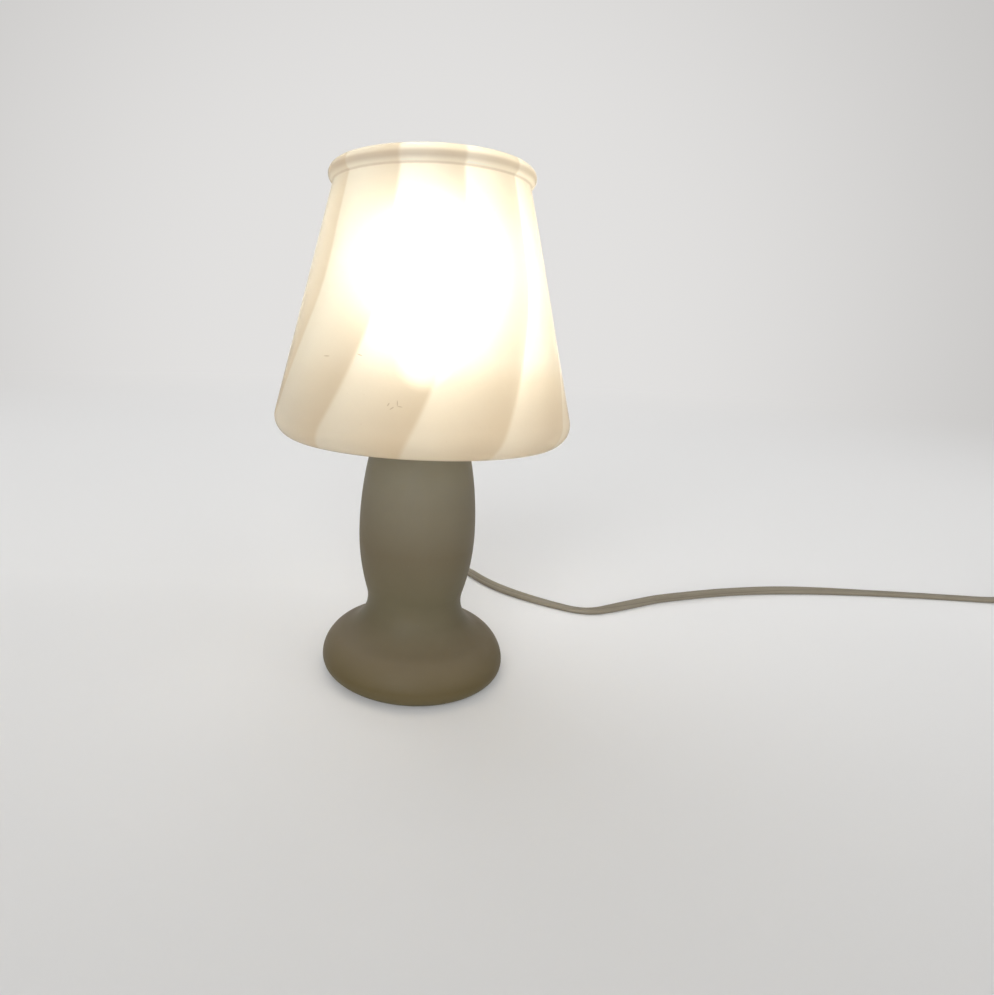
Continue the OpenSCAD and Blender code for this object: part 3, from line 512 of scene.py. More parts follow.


# Finishes

# Share of the height of the shade and of the base, and the colour there: the shade's glow from the bulb
# inside, painted into its emission, and the base's taupe with painted light and shade, darker low on the foot
# and lighter up the stem under the lit shade.
GLOW = [(0.0, (74, 57, 36)), (0.12, (118, 96, 68)), (0.25, (173, 156, 128)), (0.32, (216, 207, 188)),
        (0.5, (230, 222, 202)), (0.65, (236, 229, 212)), (0.8, (216, 207, 184)), (0.93, (200, 189, 163))]
TAUPE_AND_PAINTED_SHADE = [(0.02, (103, 95, 70)), (0.07, (97, 86, 60)), (0.16, (114, 104, 85)), (0.24, (103, 96, 77)),
         (0.36, (110, 103, 82)), (0.55, (112, 103, 84)), (0.75, (124, 118, 102)), (1.0, (147, 145, 131))]
BASE_TOP = 126 * MM
SHADE_TOP = 259.5 * MM
# Heights in millimetres at which the painted shadow in the crease under the lip and the painted shade across
# the lip's thick glass start, are full and end.
CREASE_SHADOW = (249.6, 250.3, 250.5, 251.2)
LIP_SHADE = (251.1, 253.4, 254.2, 256.4)
# Across, height, half length and half width in millimetres, and the turn in degrees.
SCUFFS = [(-13.9, 149.6, 1.0, 0.32, 60), (-12.4, 148.2, 1.3, 0.3, 35), (-10.2, 150.3, 1.5, 0.28, 95),
          (-9.1, 149.0, 1.4, 0.24, -8), (-42.2, 167.7, 1.8, 0.3, 2), (-27.0, 169.0, 1.5, 0.28, -18)]
# A painted glow spot low on the front of the shade: across, height, half length and half width in
# millimetres, and the turn in degrees.
PAINTED_GLOW_SPOT = (0, 171, 14, 17, 0)
PIN_SLEEVE = (-59.2 * MM, -59.0 * MM)  # where the pins' insulation starts

METAL = {"Metallic": 1.0}
# Light and dark colour, least and most roughness, patches and contrast, grain and its depth in millimetres.
PLAIN_FINISHES = {
    "satin_metal": ((186, 181, 170), (158, 152, 140), (0.3, 0.42), 50.0, 0.6, 2200.0, 0.01, METAL),
    "steel": ((168, 166, 162), (138, 136, 132), (0.3, 0.46), 90.0, 0.6, 1800.0, 0.012, METAL),
    "zinc_steel": ((186, 186, 180), (150, 150, 150), (0.28, 0.5), 140.0, 0.5, 1300.0, 0.015, METAL),
    "brass": ((214, 176, 96), (176, 134, 62), (0.24, 0.42), 110.0, 0.6, 1900.0, 0.012, METAL),
    "bulb_metal": ((206, 200, 188), (170, 160, 144), (0.26, 0.44), 130.0, 0.6, 1700.0, 0.012, METAL),
    "clear_rubber": ((206, 198, 180), (182, 172, 150), (0.4, 0.55), 70.0, 0.6, 900.0, 0.02,
                     {"Transmission Weight": 0.3}),
    "white_rubber": ((224, 219, 206), (204, 196, 180), (0.5, 0.65), 70.0, 0.6, 900.0, 0.03),
    "holder_plastic": ((238, 234, 224), (222, 214, 198), (0.28, 0.42), 50.0, 0.6, 1300.0, 0.015),
    "porcelain": ((240, 236, 228), (226, 220, 208), (0.12, 0.24), 60.0, 0.6, 700.0, 0.01,
                  {"Coat Weight": 0.4}),
    "black_glass": ((26, 24, 26), (14, 13, 14), (0.08, 0.2), 120.0, 0.6, 900.0, 0.01),
    "clear_glass": ((250, 250, 248), (240, 242, 240), (0.02, 0.06), 90.0, 0.6, 500.0, 0.008,
                    {"Transmission Weight": 1.0, "IOR": 1.5}),
    "filament": ((92, 88, 84), (70, 66, 62), (0.35, 0.5), 160.0, 0.6, 2600.0, 0.01,
                 {"Metallic": 1.0, "Emission Color": tone(255, 196, 120), "Emission Strength": 4.0}),
    "flex_rubber": ((150, 142, 124), (128, 119, 100), (0.5, 0.64), 60.0, 0.7, 1000.0, 0.03),
    "switch_plastic": ((176, 168, 150), (158, 149, 130), (0.34, 0.5), 45.0, 0.6, 1500.0, 0.025),
    "rocker_plastic": ((166, 157, 138), (146, 136, 116), (0.26, 0.46), 60.0, 0.6, 1500.0, 0.02)}


def blank(name, sockets):
    """A new material: the sockets of its Principled shader, and Object coordinates."""
    material = bpy.data.materials.new(name)
    material.use_nodes = True
    tree = material.node_tree
    shader = tree.nodes["Principled BSDF"].inputs
    for key, value in sockets.items():
        shader[key].default_value = value
    finishes[name] = material
    return shader, add(tree, "ShaderNodeTexCoord")["Object"]


def own_map(place):
    """A piece's own UV map: X once round it, Y in metres along it."""
    return split(place.node.outputs["UV"])


def mottled(place, scale, contrast):
    return use(MOTTLE, Vector=place, Scale=scale, Contrast=contrast)["Factor"]


def spotted(place, across, height, length, width, turn):
    return use(SPOT, Vector=place, Across=across * MM, Height=height * MM, Length=length * MM,
               Width=width * MM, Turn=math.radians(turn))["Mask"]


def handled(shader, place, colour, rough, scale, specks, share, dust):
    """Sets a colour with specks of dust, and a gloss that varies where hands have been."""
    marks = use(MARKS, Vector=place, Scale=scale, Specks=specks)
    wire(shader["Base Color"], stained(colour, marks["Speck"], share, dust))
    wire(shader["Roughness"], rise(marks["Smudge"], 0.0, 1.0, *rough))


def bumped(shader, height, depth):
    """Gives a finish its relief, as deep as that many millimetres."""
    wire(shader["Normal"], fed("ShaderNodeBump", {"Height": height, "Distance": depth * MM})[0])


def grained(place, scale, pits=0.4):
    return use(GRAIN, Vector=place, Scale=scale, Pits=pits)["Height"]


def plain(name, light, dark, rough, patch, contrast, grain, depth, sockets=None):
    """A finish of two uneven colours with a fine grain, whose gloss varies where it was handled."""
    shader, place = blank(name, sockets or {})
    colour = mixed(mottled(place, patch, contrast), tone(*light), tone(*dark))
    handled(shader, place, colour, rough, scale=patch * 1.7, specks=0.5, share=0.25, dust=dark)
    bumped(shader, grained(place, grain), depth)
    return shader, place


def shade_glass():
    """Warm opal glass with the swirl of its blowing, its glow from the bulb inside painted into its emission.
    """
    shader, place = blank("shade_glass", {
        "Transmission Weight": 0.8, "IOR": 1.45, "Emission Strength": 0.47})
    fade = use(SWIRL, Vector=place)["Fade"]
    cloud = mottled(place, 22.0, 0.7)
    at = split(place)
    # Painted glow: the emission's colour follows the height of the shade.
    glow = ramp(rise(at["Z"], BASE_TOP, SHADE_TOP, ease="LINEAR"), GLOW)
    # Painted glow: the emission is brighter to the right and in front, but for its right edge, and dimmer
    # elsewhere.
    painted_glow_side = plus(times(at["X"], 7.0), times(at["Y"], -4.0))
    painted_glow_side = times(rise(painted_glow_side, -0.5, 0.5), rise(at["X"], 0.045, 0.075, 1.0, 0.8))
    lit = mixed(painted_glow_side, mixed(1.0, glow, tone(72, 66, 56), "MULTIPLY"), glow)
    lit = stained(lit, fade, 0.6, (100, 80, 54))
    lit = stained(lit, cloud, 0.12, (140, 118, 88))
    # Painted glow: a bright oval low on the front of the shade.
    lit = stained(lit, spotted(place, *PAINTED_GLOW_SPOT), 0.8, (255, 249, 230))
    # Painted shadow in the crease under the lip and painted shade on the lip, together with the real scuffs,
    # darken the glow and the glass.
    crease_shadow, lip_shade = (band(at["Z"], *(height * MM for height in rows)) for rows in (CREASE_SHADOW, LIP_SHADE))
    scuffs = most(*(spotted(place, *scuff) for scuff in SCUFFS))
    shade_and_scuffs = most(times(crease_shadow, 0.4), times(lip_shade, 0.62), times(scuffs, 0.6))
    wire(shader["Emission Color"], mixed(shade_and_scuffs, lit, tone(58, 42, 26)))
    body = stained(tone(232, 231, 225), fade, 0.7, (199, 187, 167))
    body = stained(body, shade_and_scuffs, 0.8, (132, 106, 76))
    handled(shader, place, body, (0.68, 0.76), scale=24.0, specks=0.6, share=0.2, dust=(150, 120, 88))
    bumped(shader, plus(fade, grained(place, 420.0, 0.1)), 0.05)


def base_glass():
    """Satin taupe glass with painted light and shade by height: a lighter band at the crown, browner and
    darker at the foot's edge, lightest at the top of the stem.
    """
    shader, place = blank("base_glass", {
        "IOR": 1.48, "Specular IOR Level": 0.1, "Subsurface Weight": 0.35,
        "Subsurface Radius": (1.0, 0.85, 0.6), "Subsurface Scale": 0.008})
    # Painted light and shade: the colour follows the height, darker low on the foot and lighter up the stem.
    colour = ramp(rise(split(place)["Z"], 0.0, BASE_TOP, ease="LINEAR"), TAUPE_AND_PAINTED_SHADE)
    colour = stained(colour, mottled(place, 18.0, 0.8), 0.2, (106, 93, 68))
    handled(shader, place, colour, (0.44, 0.56), scale=26.0, specks=0.7, share=0.18, dust=(150, 141, 122))
    bumped(shader, grained(place, 2600.0, 0.5), 0.012)


def flex_finish():
    """Soft grey-beige flex with painted light and shade: darker past its first stretch, painted shade in the
    valley between its cores, and faint ripples.
    """
    shader, place = blank("flex", {"Specular IOR Level": 0.4, "Sheen Weight": 0.05})
    around = own_map(place)
    colour = mixed(mottled(place, 55.0, 0.7), tone(158, 149, 132), tone(140, 131, 113))
    # Painted light and shade along the flex: lighter on its first stretch, darker past it.
    colour = stained(colour, rise(around["Y"], 0.14, 0.22), 0.55, (108, 101, 86))
    # Painted shade in the valley between the two cores.
    line = minus(calc("FRACT", times(around["X"], 2.0)), 0.5)
    valley = rise(calc("ABSOLUTE", line), 0.44, 0.5)
    colour = stained(colour, valley, 0.55, (92, 84, 66))
    handled(shader, place, colour, (0.42, 0.58), scale=60.0, specks=0.8, share=0.4, dust=(96, 88, 70))
    wave = calc("SINE", times(around["Y"], 900.0))
    bumped(shader, plus(times(wave, 0.12), grained(place, 1400.0, 0.2)), 0.03)


def frosted_bulb():
    """A frosted bulb that burns: brightest round its ball, dimmer towards the neck."""
    shader, place = blank("bulb_frost", {"Emission Strength": 16.0, "Roughness": 0.5})
    cloud = mottled(place, 60.0, 0.9)
    hot = rise(split(place)["Z"], 170 * MM, 185 * MM)
    colour = mixed(hot, tone(226, 184, 128), tone(255, 248, 230))
    wire(shader["Emission Color"], stained(colour, cloud, 0.06, (236, 200, 140)))
    wire(shader["Base Color"], mixed(cloud, tone(246, 244, 238), tone(236, 232, 222)))
    bumped(shader, grained(place, 3000.0), 0.01)


def felt_finish():
    """Pressed brown felt: short fibres lying every way."""
    shader, place = blank("felt", {"Sheen Weight": 0.4, "Sheen Roughness": 0.6})
    nap = noise(place, 900.0, Detail=6.0, Distortion=2.5)
    colour = mixed(rise(nap, 0.3, 0.7), tone(58, 48, 38), tone(92, 78, 62))
    colour = stained(colour, mottled(place, 60.0, 0.8), 0.4, (70, 60, 50))
    wire(shader["Base Color"], colour)
    wire(shader["Roughness"], rise(nap, 0.2, 0.8, 0.88, 1.0))
    bumped(shader, nap, 0.2)


def webbing_finish():
    """Dark woven webbing: threads over and under each other, with painted light and shade, paler where they
    rise and darker between.
    """
    shader, place = blank("tie_plastic", {"Specular IOR Level": 0.3, "Sheen Weight": 0.2})
    ways = (split(place)["Y"], own_map(place)["Y"])
    weave = times(*(calc("SINE", times(way, 7000.0)) for way in ways))
    # Painted light and shade of the weave: paler tops, darker hollows.
    colour = mixed(rise(weave, -0.6, 0.8), tone(50, 47, 43), tone(88, 84, 77))
    colour = stained(colour, mottled(place, 120.0, 0.6), 0.35, (64, 60, 54))
    wire(shader["Base Color"], colour)
    wire(shader["Roughness"], rise(weave, -1.0, 1.0, 0.88, 0.66))
    bumped(shader, weave, 0.08)


def pin_finish():
    """Nickel pins, sleeved in insulation next to the plug's body."""
    shader, place = plain("plug_nickel", (206, 202, 192), (178, 172, 160), (0.22, 0.34),
                          120.0, 0.5, 2600.0, 0.008)
    sleeve = rise(split(place)["Y"], *PIN_SLEEVE)
    metal = shader["Base Color"].links[0].from_socket
    wire(shader["Base Color"], mixed(sleeve, metal, tone(70, 68, 64)))
    wire(shader["Metallic"], minus(1.0, sleeve))


def mix_finishes():
    for finish in (shade_glass, base_glass, flex_finish, frosted_bulb, felt_finish, webbing_finish,
                   pin_finish):
        finish()
    for name, values in PLAIN_FINISHES.items():
        plain(name, *values)


# Grown forms

def form_tree(name, inputs):
    inputs = {"Profile": "Geometry", **inputs, "Finish": "Material"}
    return new_tree(name, "GeometryNodeTree", inputs, {"Form": "Geometry"})


def close_tree(given, out, geometry):
    """Every tree ends the same way: real geometry, smooth, in its finish."""
    real = fed("GeometryNodeRealizeInstances", {0: geometry})[0]
    smooth = fed("GeometryNodeSetShadeSmooth", {"Geometry": real})[0]
    dressed = fed("GeometryNodeSetMaterial", {0: smooth, "Material": given["Finish"]})[0]
    wire(out["Form"], dressed)
    return dressed.id_data


def position(tree):
    return add(tree, "GeometryNodeInputPosition")[0]


def moved(geometry, **where):
    return fed("GeometryNodeSetPosition", {"Geometry": geometry, **where})[0]


def grown(tree, slot, host=None, **sizes):
    """Runs a tree with its sizes and returns the plain mesh."""
    holder = linked("growing", host or bpy.data.meshes.new("growing"))
    modifier = holder.modifiers.new("grow", "NODES")
    modifier.node_group = tree
    sizes["Finish"] = finishes[slot]
    for item in tree.interface.items_tree:
        if item.item_type == "SOCKET" and item.in_out == "INPUT" and item.name in sizes:
            modifier[item.identifier] = sizes[item.name]
    return evaluated(holder)


def turned_tree():
    """Turns a closed profile about Z. Where its points carry a Y above 0, the swirl's ripples stand proud."""
    tree, given, out = form_tree("turned_glass", {
        "Segments": 288, "Rows": 100, **SWIRL_SIZES, "Ripple": 0.1 * MM, "Weld": 2e-6})
    grid = fed("GeometryNodeMeshGrid", {
        "Size X": 1.0, "Size Y": 1.0, "Vertices X": plus(given["Segments"], 1.0),
        "Vertices Y": given["Rows"]})["Mesh"]
    at = split(position(tree))
    angle = times(plus(at["X"], 0.5), math.tau)
    row = times(plus(at["Y"], 0.5), minus(given["Rows"], 1.0))
    sample = {"Geometry": given["Profile"], "Value": position(tree), "Index": calc("ROUND", row)}
    point = split(fed("GeometryNodeSampleIndex", sample, data_type="FLOAT_VECTOR", domain="POINT")[0])
    saw = swirl_saw(given, angle, point["Z"])
    saw = times(saw, rise(saw, 0.86, 1.0, 1.0, 0.0))
    reach = times(saw, given["Ripple"], times(point["Y"], 1 / MM))
    radius = plus(point["X"], reach)
    where = joined(X=times(radius, calc("SINE", angle)),
                   Y=times(radius, calc("COSINE", angle), -1.0), Z=point["Z"])
    welded = fed("GeometryNodeMergeByDistance", {
        "Geometry": moved(grid, Position=where), "Distance": given["Weld"]})[0]
    return close_tree(given, out, welded)


def tube(tree, sides, rows):
    """A closed tube of radius 1 and length 1, where its points lie, and how far along it they lie."""
    made = add(tree, "GeometryNodeMeshCylinder", {
        "Vertices": sides, "Side Segments": rows, "Radius": 1.0, "Depth": 1.0}, fill_type="NGON")
    at = split(position(tree))
    return made["Mesh"], at, plus(at["Z"], 0.5)


def swelled(given, made, at, along, radius):
    """The tube in its length, standing on Z = 0, with the radius that each of its points has."""
    where = joined(X=times(at["X"], radius), Y=times(at["Y"], radius),
                   Z=times(along, given["Length"]))
    return moved(made, Position=where)


def ribbed_tree():
    """A tapered sleeve along +Z with rounded ribs round it."""
    tree, given, out = form_tree("ribbed_sleeve", {
        "Root radius": 6 * MM, "Tip radius": 4 * MM, "Length": 20 * MM, "Ribs": 7.0, "Depth": 0.6 * MM})
    made, at, along = tube(tree, 40, 112)
    taper = rise(along, 0.0, 1.0, given["Root radius"], given["Tip radius"], "LINEAR")
    wave = calc("COSINE", times(along, given["Ribs"], math.tau))
    dip = rise(wave, -0.75, 0.35, 1.0, 0.0)
    end = rise(along, 0.965, 1.0)
    radius = minus(taper, times(dip, given["Depth"]), times(end, end, given["Depth"]))
    return close_tree(given, out, swelled(given, made, at, along, radius))


def threaded_tree():
    """A rolled thread on a shell along +Z, whose crests keep the shell's radius, with a flare at its top."""
    tree, given, out = form_tree("rolled_thread", {
        "Radius": 6.85 * MM, "Length": 20 * MM, "Pitch": 2.82 * MM, "Depth": 0.5 * MM, "Flare": 1.9 * MM})
    made, at, along = tube(tree, 64, 120)
    turns = times(along, calc("DIVIDE", given["Length"], given["Pitch"]))
    phase = minus(times(turns, math.tau), calc("ARCTAN2", at["Y"], at["X"]))
    wave = times(plus(calc("COSINE", phase), 1.0), 0.5)
    groove = times(wave, band(along, 0.04, 0.14, 0.72, 0.82), given["Depth"])
    flare = rise(along, 0.85, 1.0, 0.0, given["Flare"], "LINEAR")
    radius = plus(minus(given["Radius"], groove), flare)
    return close_tree(given, out, swelled(given, made, at, along, radius))


def bar_tree():
    """Rounded bars side by side in a row, or standing round a ring."""
    tree, given, out = form_tree("grip_bars", {
        "Count": 5, "Step": "Vector", "Ring radius": 0.0, "Bar length": 10 * MM, "Bar radius": 0.5 * MM})
    bar = add(tree, "GeometryNodeMeshUVSphere", {"Segments": 10, "Rings": 8, "Radius": 1.0})["Mesh"]
    at = split(position(tree))
    x, y, z = (times(at[axis], given["Bar radius"]) for axis in "XYZ")
    reach = minus(times(given["Bar length"], 0.5), given["Bar radius"])
    end = times(calc("SIGN", at["Z"]), reach)
    bar = moved(bar, Position=joined(X=x, Y=y, Z=plus(z, end)))
    row = fed("GeometryNodeMeshLine", {"Count": given["Count"], "Offset": given["Step"]}, mode="OFFSET")[0]
    index = add(tree, "GeometryNodeInputIndex")[0]
    angle = times(calc("DIVIDE", index, given["Count"]), math.tau)
    x, y = (times(calc(way, angle), given["Ring radius"]) for way in ("COSINE", "SINE"))
    row = moved(row, Offset=joined(X=x, Y=y))
    bars = fed("GeometryNodeInstanceOnPoints", {"Points": row, "Instance": bar})[0]
    return close_tree(given, out, bars)


TURNED = turned_tree()
RIBBED = ribbed_tree()
THREADED = threaded_tree()
BARS = bar_tree()


# Shade, with its section's radii and heights in millimetres

WALL = 3.2
HOLE_R = 7.8
HOLE_EDGE = 7.95
FLOOR_LOW = 131
FLOOR_R = 28  # the floor is flat as far as this, where it bends
BEND_IN, BEND_OUT, BEND_DROP = 0.8, 0.6, 0.07
FLOOR_MIDDLE = 17
FLOOR_TURN = -98.35  # where the floor meets the shoulder, in degrees
SHOULDER, SHOULDER_R = Vector((64.3, 136.5)), 10.7
LIP, LIP_R = Vector((46.6, 254.4)), 4.5
LIP_STEP = 2.15  # the wall meets the lip this far outside the lip's middle
SHOULDER_STEPS, LIP_STEPS, INNER_STEPS = 20, 40, 14
SMOOTH_LOW, SMOOTH_HIGH = 3, 4  # points of the wall next to the floor and to the lip that have no ripples
FLOOR_SHARES = (0.1, 0.4, 0.7, 0.96)
OUTER_SHARES = (0.01, *(tenth / 10 for tenth in range(1, 10)), 0.97, 0.995, 1.0)
INNER_SHARES = (0.0, 0.01, 0.15, 0.3, 0.45, 0.6, 0.75, 0.9, 0.99)


def shade_profile():
    """The shade's closed section, from the floor's hole outwards and back inside, and its rippled points."""
    joint = Vector((LIP.x + LIP_STEP, LIP.y - math.sqrt(LIP_R ** 2 - LIP_STEP ** 2)))
    span = joint - SHOULDER
    wall_turn = math.degrees(math.atan2(span.y, span.x) - math.acos(SHOULDER_R / span.length))
    sweep = wall_turn - FLOOR_TURN
    low, high = (SHOULDER + polar(SHOULDER_R, turn) for turn in (FLOOR_TURN, wall_turn))
    flat = (HOLE_R, HOLE_EDGE, FLOOR_MIDDLE, FLOOR_R - BEND_IN)
    points = [Vector((radius, FLOOR_LOW)) for radius in flat]
    points.append(Vector((FLOOR_R + BEND_OUT, FLOOR_LOW - BEND_DROP)))
    points += [Vector((FLOOR_R, FLOOR_LOW)).lerp(low, share) for share in FLOOR_SHARES]
    first = len(points) + SMOOTH_LOW
    points += [SHOULDER + polar(SHOULDER_R, FLOOR_TURN + sweep * i / SHOULDER_STEPS)
               for i in range(SHOULDER_STEPS + 1)]
    points += [high.lerp(joint, share) for share in OUTER_SHARES]
    last = len(points) - SMOOTH_HIGH
    inner_low = SHOULDER + polar(SHOULDER_R - WALL, wall_turn)
    up = polar(1, wall_turn + 90)
    away = inner_low - LIP
    reach = -away.dot(up) - math.sqrt(away.dot(up) ** 2 - away.length_squared + LIP_R ** 2)
    inner_high = inner_low + up * reach
    start, stop = (math.degrees(math.atan2(end.y - LIP.y, end.x - LIP.x)) for end in (joint, inner_high))
    roll = stop % 360 - start
    steps = (0.3, *range(1, LIP_STEPS), LIP_STEPS - 0.3)
    points += [LIP + polar(LIP_R, start + roll * step / LIP_STEPS) for step in steps]
    points += [inner_high.lerp(inner_low, share) for share in INNER_SHARES]
    points += [SHOULDER + polar(SHOULDER_R - WALL, wall_turn - sweep * i / INNER_STEPS)
               for i in range(INNER_STEPS + 1)]
    inner_flat = FLOOR_R + WALL * math.tan(math.radians(-90 - FLOOR_TURN) / 2)
    points += [Vector((radius, FLOOR_LOW + WALL)) for radius in (inner_flat, FLOOR_MIDDLE, HOLE_EDGE, HOLE_R)]
    points += [Vector((HOLE_R, FLOOR_LOW + WALL / 2)), points[0]]
    return points, range(first, last)


def turned_shade():
    """The blown shade in one piece: bowl, wall and rolled lip."""
    points, rippled = shade_profile()
    host = bpy.data.meshes.new("profile")
    host.from_pydata([(p.x * MM, MM * (i in rippled), p.y * MM) for i, p in enumerate(points)], [], [])
    mesh = outward(grown(TURNED, "shade_glass", host, Rows=len(points)))
    piece("blown_shade", mesh, "shade_glass", replaced=("glass_shade", "shade_bowl", "shade_lip"))


# Ends of the flex, grips and the bulb's cap, with all places in millimetres

BUSHING_Y, BUSHING_Z = 50.2, 11
HOLDER_Z = 160
CAP_Z = 161.6
STRAP_BEND, STRAP_T = 2.4, 0.38
STRAP_STEP = 0.7
STRAP_START, STRAP_END = 0.25, 0.7  # shares of the straight run on top where the strap starts and ends
STRAP_OUTER, STRAP_INNER = 0.2, 0.6  # how far inside the tie's outline the end and the covered start run
STRAP_TIP = 0.4  # half the strap's least width, at its rounded end
PLUG_FLANK = math.atan2(10.5, 21)  # the flanks come in by this much over that length
PLUG_GRIP_X, PLUG_GRIP_Y = 6.5, -5
ROCKER_TILT = math.radians(9)
ROCKER_GRIP_X, ROCKER_TOP = 3.2, 3.6


def standing(mesh, turn, spot):
    """Turns a mesh grown along +Z and puts it in its place."""
    mesh.transform(Matrix.Translation(Vector(spot) * MM) @ turn)
    return outward(mesh)


def ribbed_sleeve(name, slot, spot, root, tip, length, ribs, depth, replaced=()):
    """A ribbed strain relief that points backwards."""
    mesh = grown(RIBBED, slot, Length=length * MM, Ribs=ribs, Depth=depth * MM, **{
        "Root radius": root * MM, "Tip radius": tip * MM})
    backwards = Matrix.Rotation(math.radians(-90), 4, "X")
    piece(name, standing(mesh, backwards, spot), slot, replaced=replaced)


def dress_lead_ends():
    """Ribbed strain reliefs, the switch with its rounded shells, and the plug."""
    ribbed_sleeve("ribbed_bushing", "flex_rubber", (0, BUSHING_Y, BUSHING_Z),
                  root=5.0, tip=4.0, length=20.5, ribs=7.0, depth=0.55)
    ribbed_sleeve("ribbed_relief", "switch_plastic", (PLUG_X, PLUG_Y, PLUG_Z),
                  root=6.0, tip=4.2, length=24.0, ribs=8.0, depth=0.6, replaced=("plug_relief",))
    softened("switch_base", "switch_lower_shell", "switch_plastic", 0.5 * MM)
    softened("switch_cover", "switch_upper_shell", "switch_plastic", 0.5 * MM)
    softened("switch_rocker", "switch_paddle", "rocker_plastic", 0.4 * MM, "rocker")
    softened("plug_body", "plug_shell", "switch_plastic", 1.5 * MM, shortest=3 * MM)


def strap_path(low, high):
    """Once round the tie's outline and on over the start: the spots, and which way is out at each."""
    left, right = low.x + STRAP_BEND, high.x - STRAP_BEND
    bottom, top = low.z + STRAP_BEND, high.z - STRAP_BEND
    start, end = (left + share * (right - left) for share in (STRAP_START, STRAP_END))
    stops = [Vector(stop) for stop in (
        (start, top, 90), (right, top, 90), (right, top, 0), (right, bottom, 0), (right, bottom, -90),
        (left, bottom, -90), (left, bottom, -180), (left, top, -180), (left, top, -270), (end, top, -270))]
    path = []
    for index, (a, b) in enumerate(zip(stops, stops[1:])):
        steps = 8 if a.xy == b.xy else round((b - a).length / STRAP_STEP)
        for i in range(steps + (b == stops[-1])):
            x, z, turn = a.lerp(b, i / steps)
            covered = min(max((right - x) / (right - end), 0.0), 1.0) if index == 0 else 0.0
            out = polar(1, turn)
            inset = STRAP_OUTER + (STRAP_INNER - STRAP_OUTER) * covered
            path.append((Vector((x, z)) + out * (STRAP_BEND - inset), out))
    return path


def wound_strap():
    """The coil's webbing strap, whose rounded end lies over its own start."""
    low, high = (Vector(corner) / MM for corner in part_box("coil_tie"))
    middle, half_wide, half_thick = (low.y + high.y) / 2, (high.y - low.y) / 2, STRAP_T / 2
    path = strap_path(low, high)
    lengths = [0.0]
    for (a, _), (b, _) in zip(path, path[1:]):
        lengths.append(lengths[-1] + (b - a).length * MM)
    rings = []
    for (spot, out), length in zip(path, lengths):
        left_over = min((lengths[-1] - length) / MM / half_wide, 1.0)
        wide = max(half_wide * math.sqrt(1 - (1 - left_over) ** 2), STRAP_TIP) - half_thick
        ring = []
        for side in (1, -1):
            for k in range(7):
                edge = polar(half_thick, 30 * k - 90 * side)
                ring.append(Vector((spot.x + out.x * edge.y, middle + side * wide + edge.x,
                                    spot.y + out.y * edge.y)) * MM)
        rings.append(ring)
    piece("coil_strap", tube_mesh(rings, lengths), "tie_plastic", replaced=("coil_tie",))


def grip_rows(name, slot, places, length, radius, body="lamp", **sizes):
    """Grip bars in one piece: the same row at each of its places."""
    row = grown(BARS, slot, **{"Bar length": length * MM, "Bar radius": radius * MM}, **sizes)
    work = bmesh.new()
    for place in places:
        copy = row.copy()
        copy.transform(place)
        work.from_mesh(copy)
    mesh = bpy.data.meshes.new(name)
    work.to_mesh(mesh)
    work.free()
    mesh.shade_smooth()
    piece(name, mesh, slot, body)


def add_grips():
    """Grips on the plug's flanks, the switch's rocker and the lampholder."""
    flanks, halves = [], []
    for side in (-1, 1):
        flanks.append(Matrix.Translation(Vector((PLUG_X + side * PLUG_GRIP_X, PLUG_Y, PLUG_Z)) * MM)
                      @ Matrix.Rotation(side * PLUG_FLANK, 4, "Z")
                      @ Matrix.Translation((0, PLUG_GRIP_Y * MM, 0)))
        first = Vector((side * ROCKER_GRIP_X, 0, ROCKER_TOP + ROCKER_GRIP_X * math.tan(ROCKER_TILT)))
        first.rotate(Matrix.Rotation(-ROCKER_TILT, 3, "Y"))
        halves.append(Matrix.Translation((Vector((SWITCH_X, SWITCH_Y, ROCKER_Z)) + first) * MM)
                      @ Matrix.Rotation(-ROCKER_TILT - side * ROCKER_TILT, 4, "Y")
                      @ Matrix.Rotation(math.pi * (side < 0), 4, "Z")
                      @ Matrix.Rotation(math.radians(90), 4, "X"))
    grip_rows("plug_ribs", "switch_plastic", flanks,
              length=9, radius=0.8, Count=5, Step=(0, -3.4 * MM, 0))
    grip_rows("rocker_grips", "rocker_plastic", halves, body="rocker",
              length=8, radius=0.32, Count=4, Step=(1.3 * MM, 0, 0))
    grip_rows("holder_grips", "holder_plastic", [Matrix.Translation((0, 0, HOLDER_Z * MM))],
              length=18, radius=0.5, Count=30, **{"Ring radius": 13.4 * MM})


def thread_cap():
    """The bulb's cap with its rolled thread."""
    cap = standing(grown(THREADED, "bulb_metal"), Matrix(), (0, 0, CAP_Z))
    piece("rolled_cap", cap, "bulb_metal", "bulb", ("bulb_cap",))


# Studio, in metres and linear colours

SKY = (0.32, 0.307, 0.285, 1)
BACKDROP = (0.765, 0.755, 0.745, 1)
# The backdrop's painted falloff of light ends in this dull colour at the sides.
CORNERS = (0.53, 0.52, 0.51, 1)
TABLE, TABLE_PAINTED_DIM = (0.87, 0.872, 0.88, 1), (0.62, 0.62, 0.625, 1)
TABLE_LIGHT = (0.5, 0.49, 0.47, 1)  # the table as it lights the lamp
TABLE_R = 4.0
EYE_BACK = 0.33  # the backdrop is looked at from this far in front of the lamp
BOX_COLOUR = (0.97, 0.985, 1.0)
# Where each soft box stands, its strength, and how wide it is in degrees.
BOXES = {"front_box": ((-0.2, -1.0, 0.36), 2.1, 50), "right_box": ((1.0, -0.6, 0.6), 0.5, 60),
         "back_box": ((-0.5, 0.9, 1.6), 0.7, 60)}


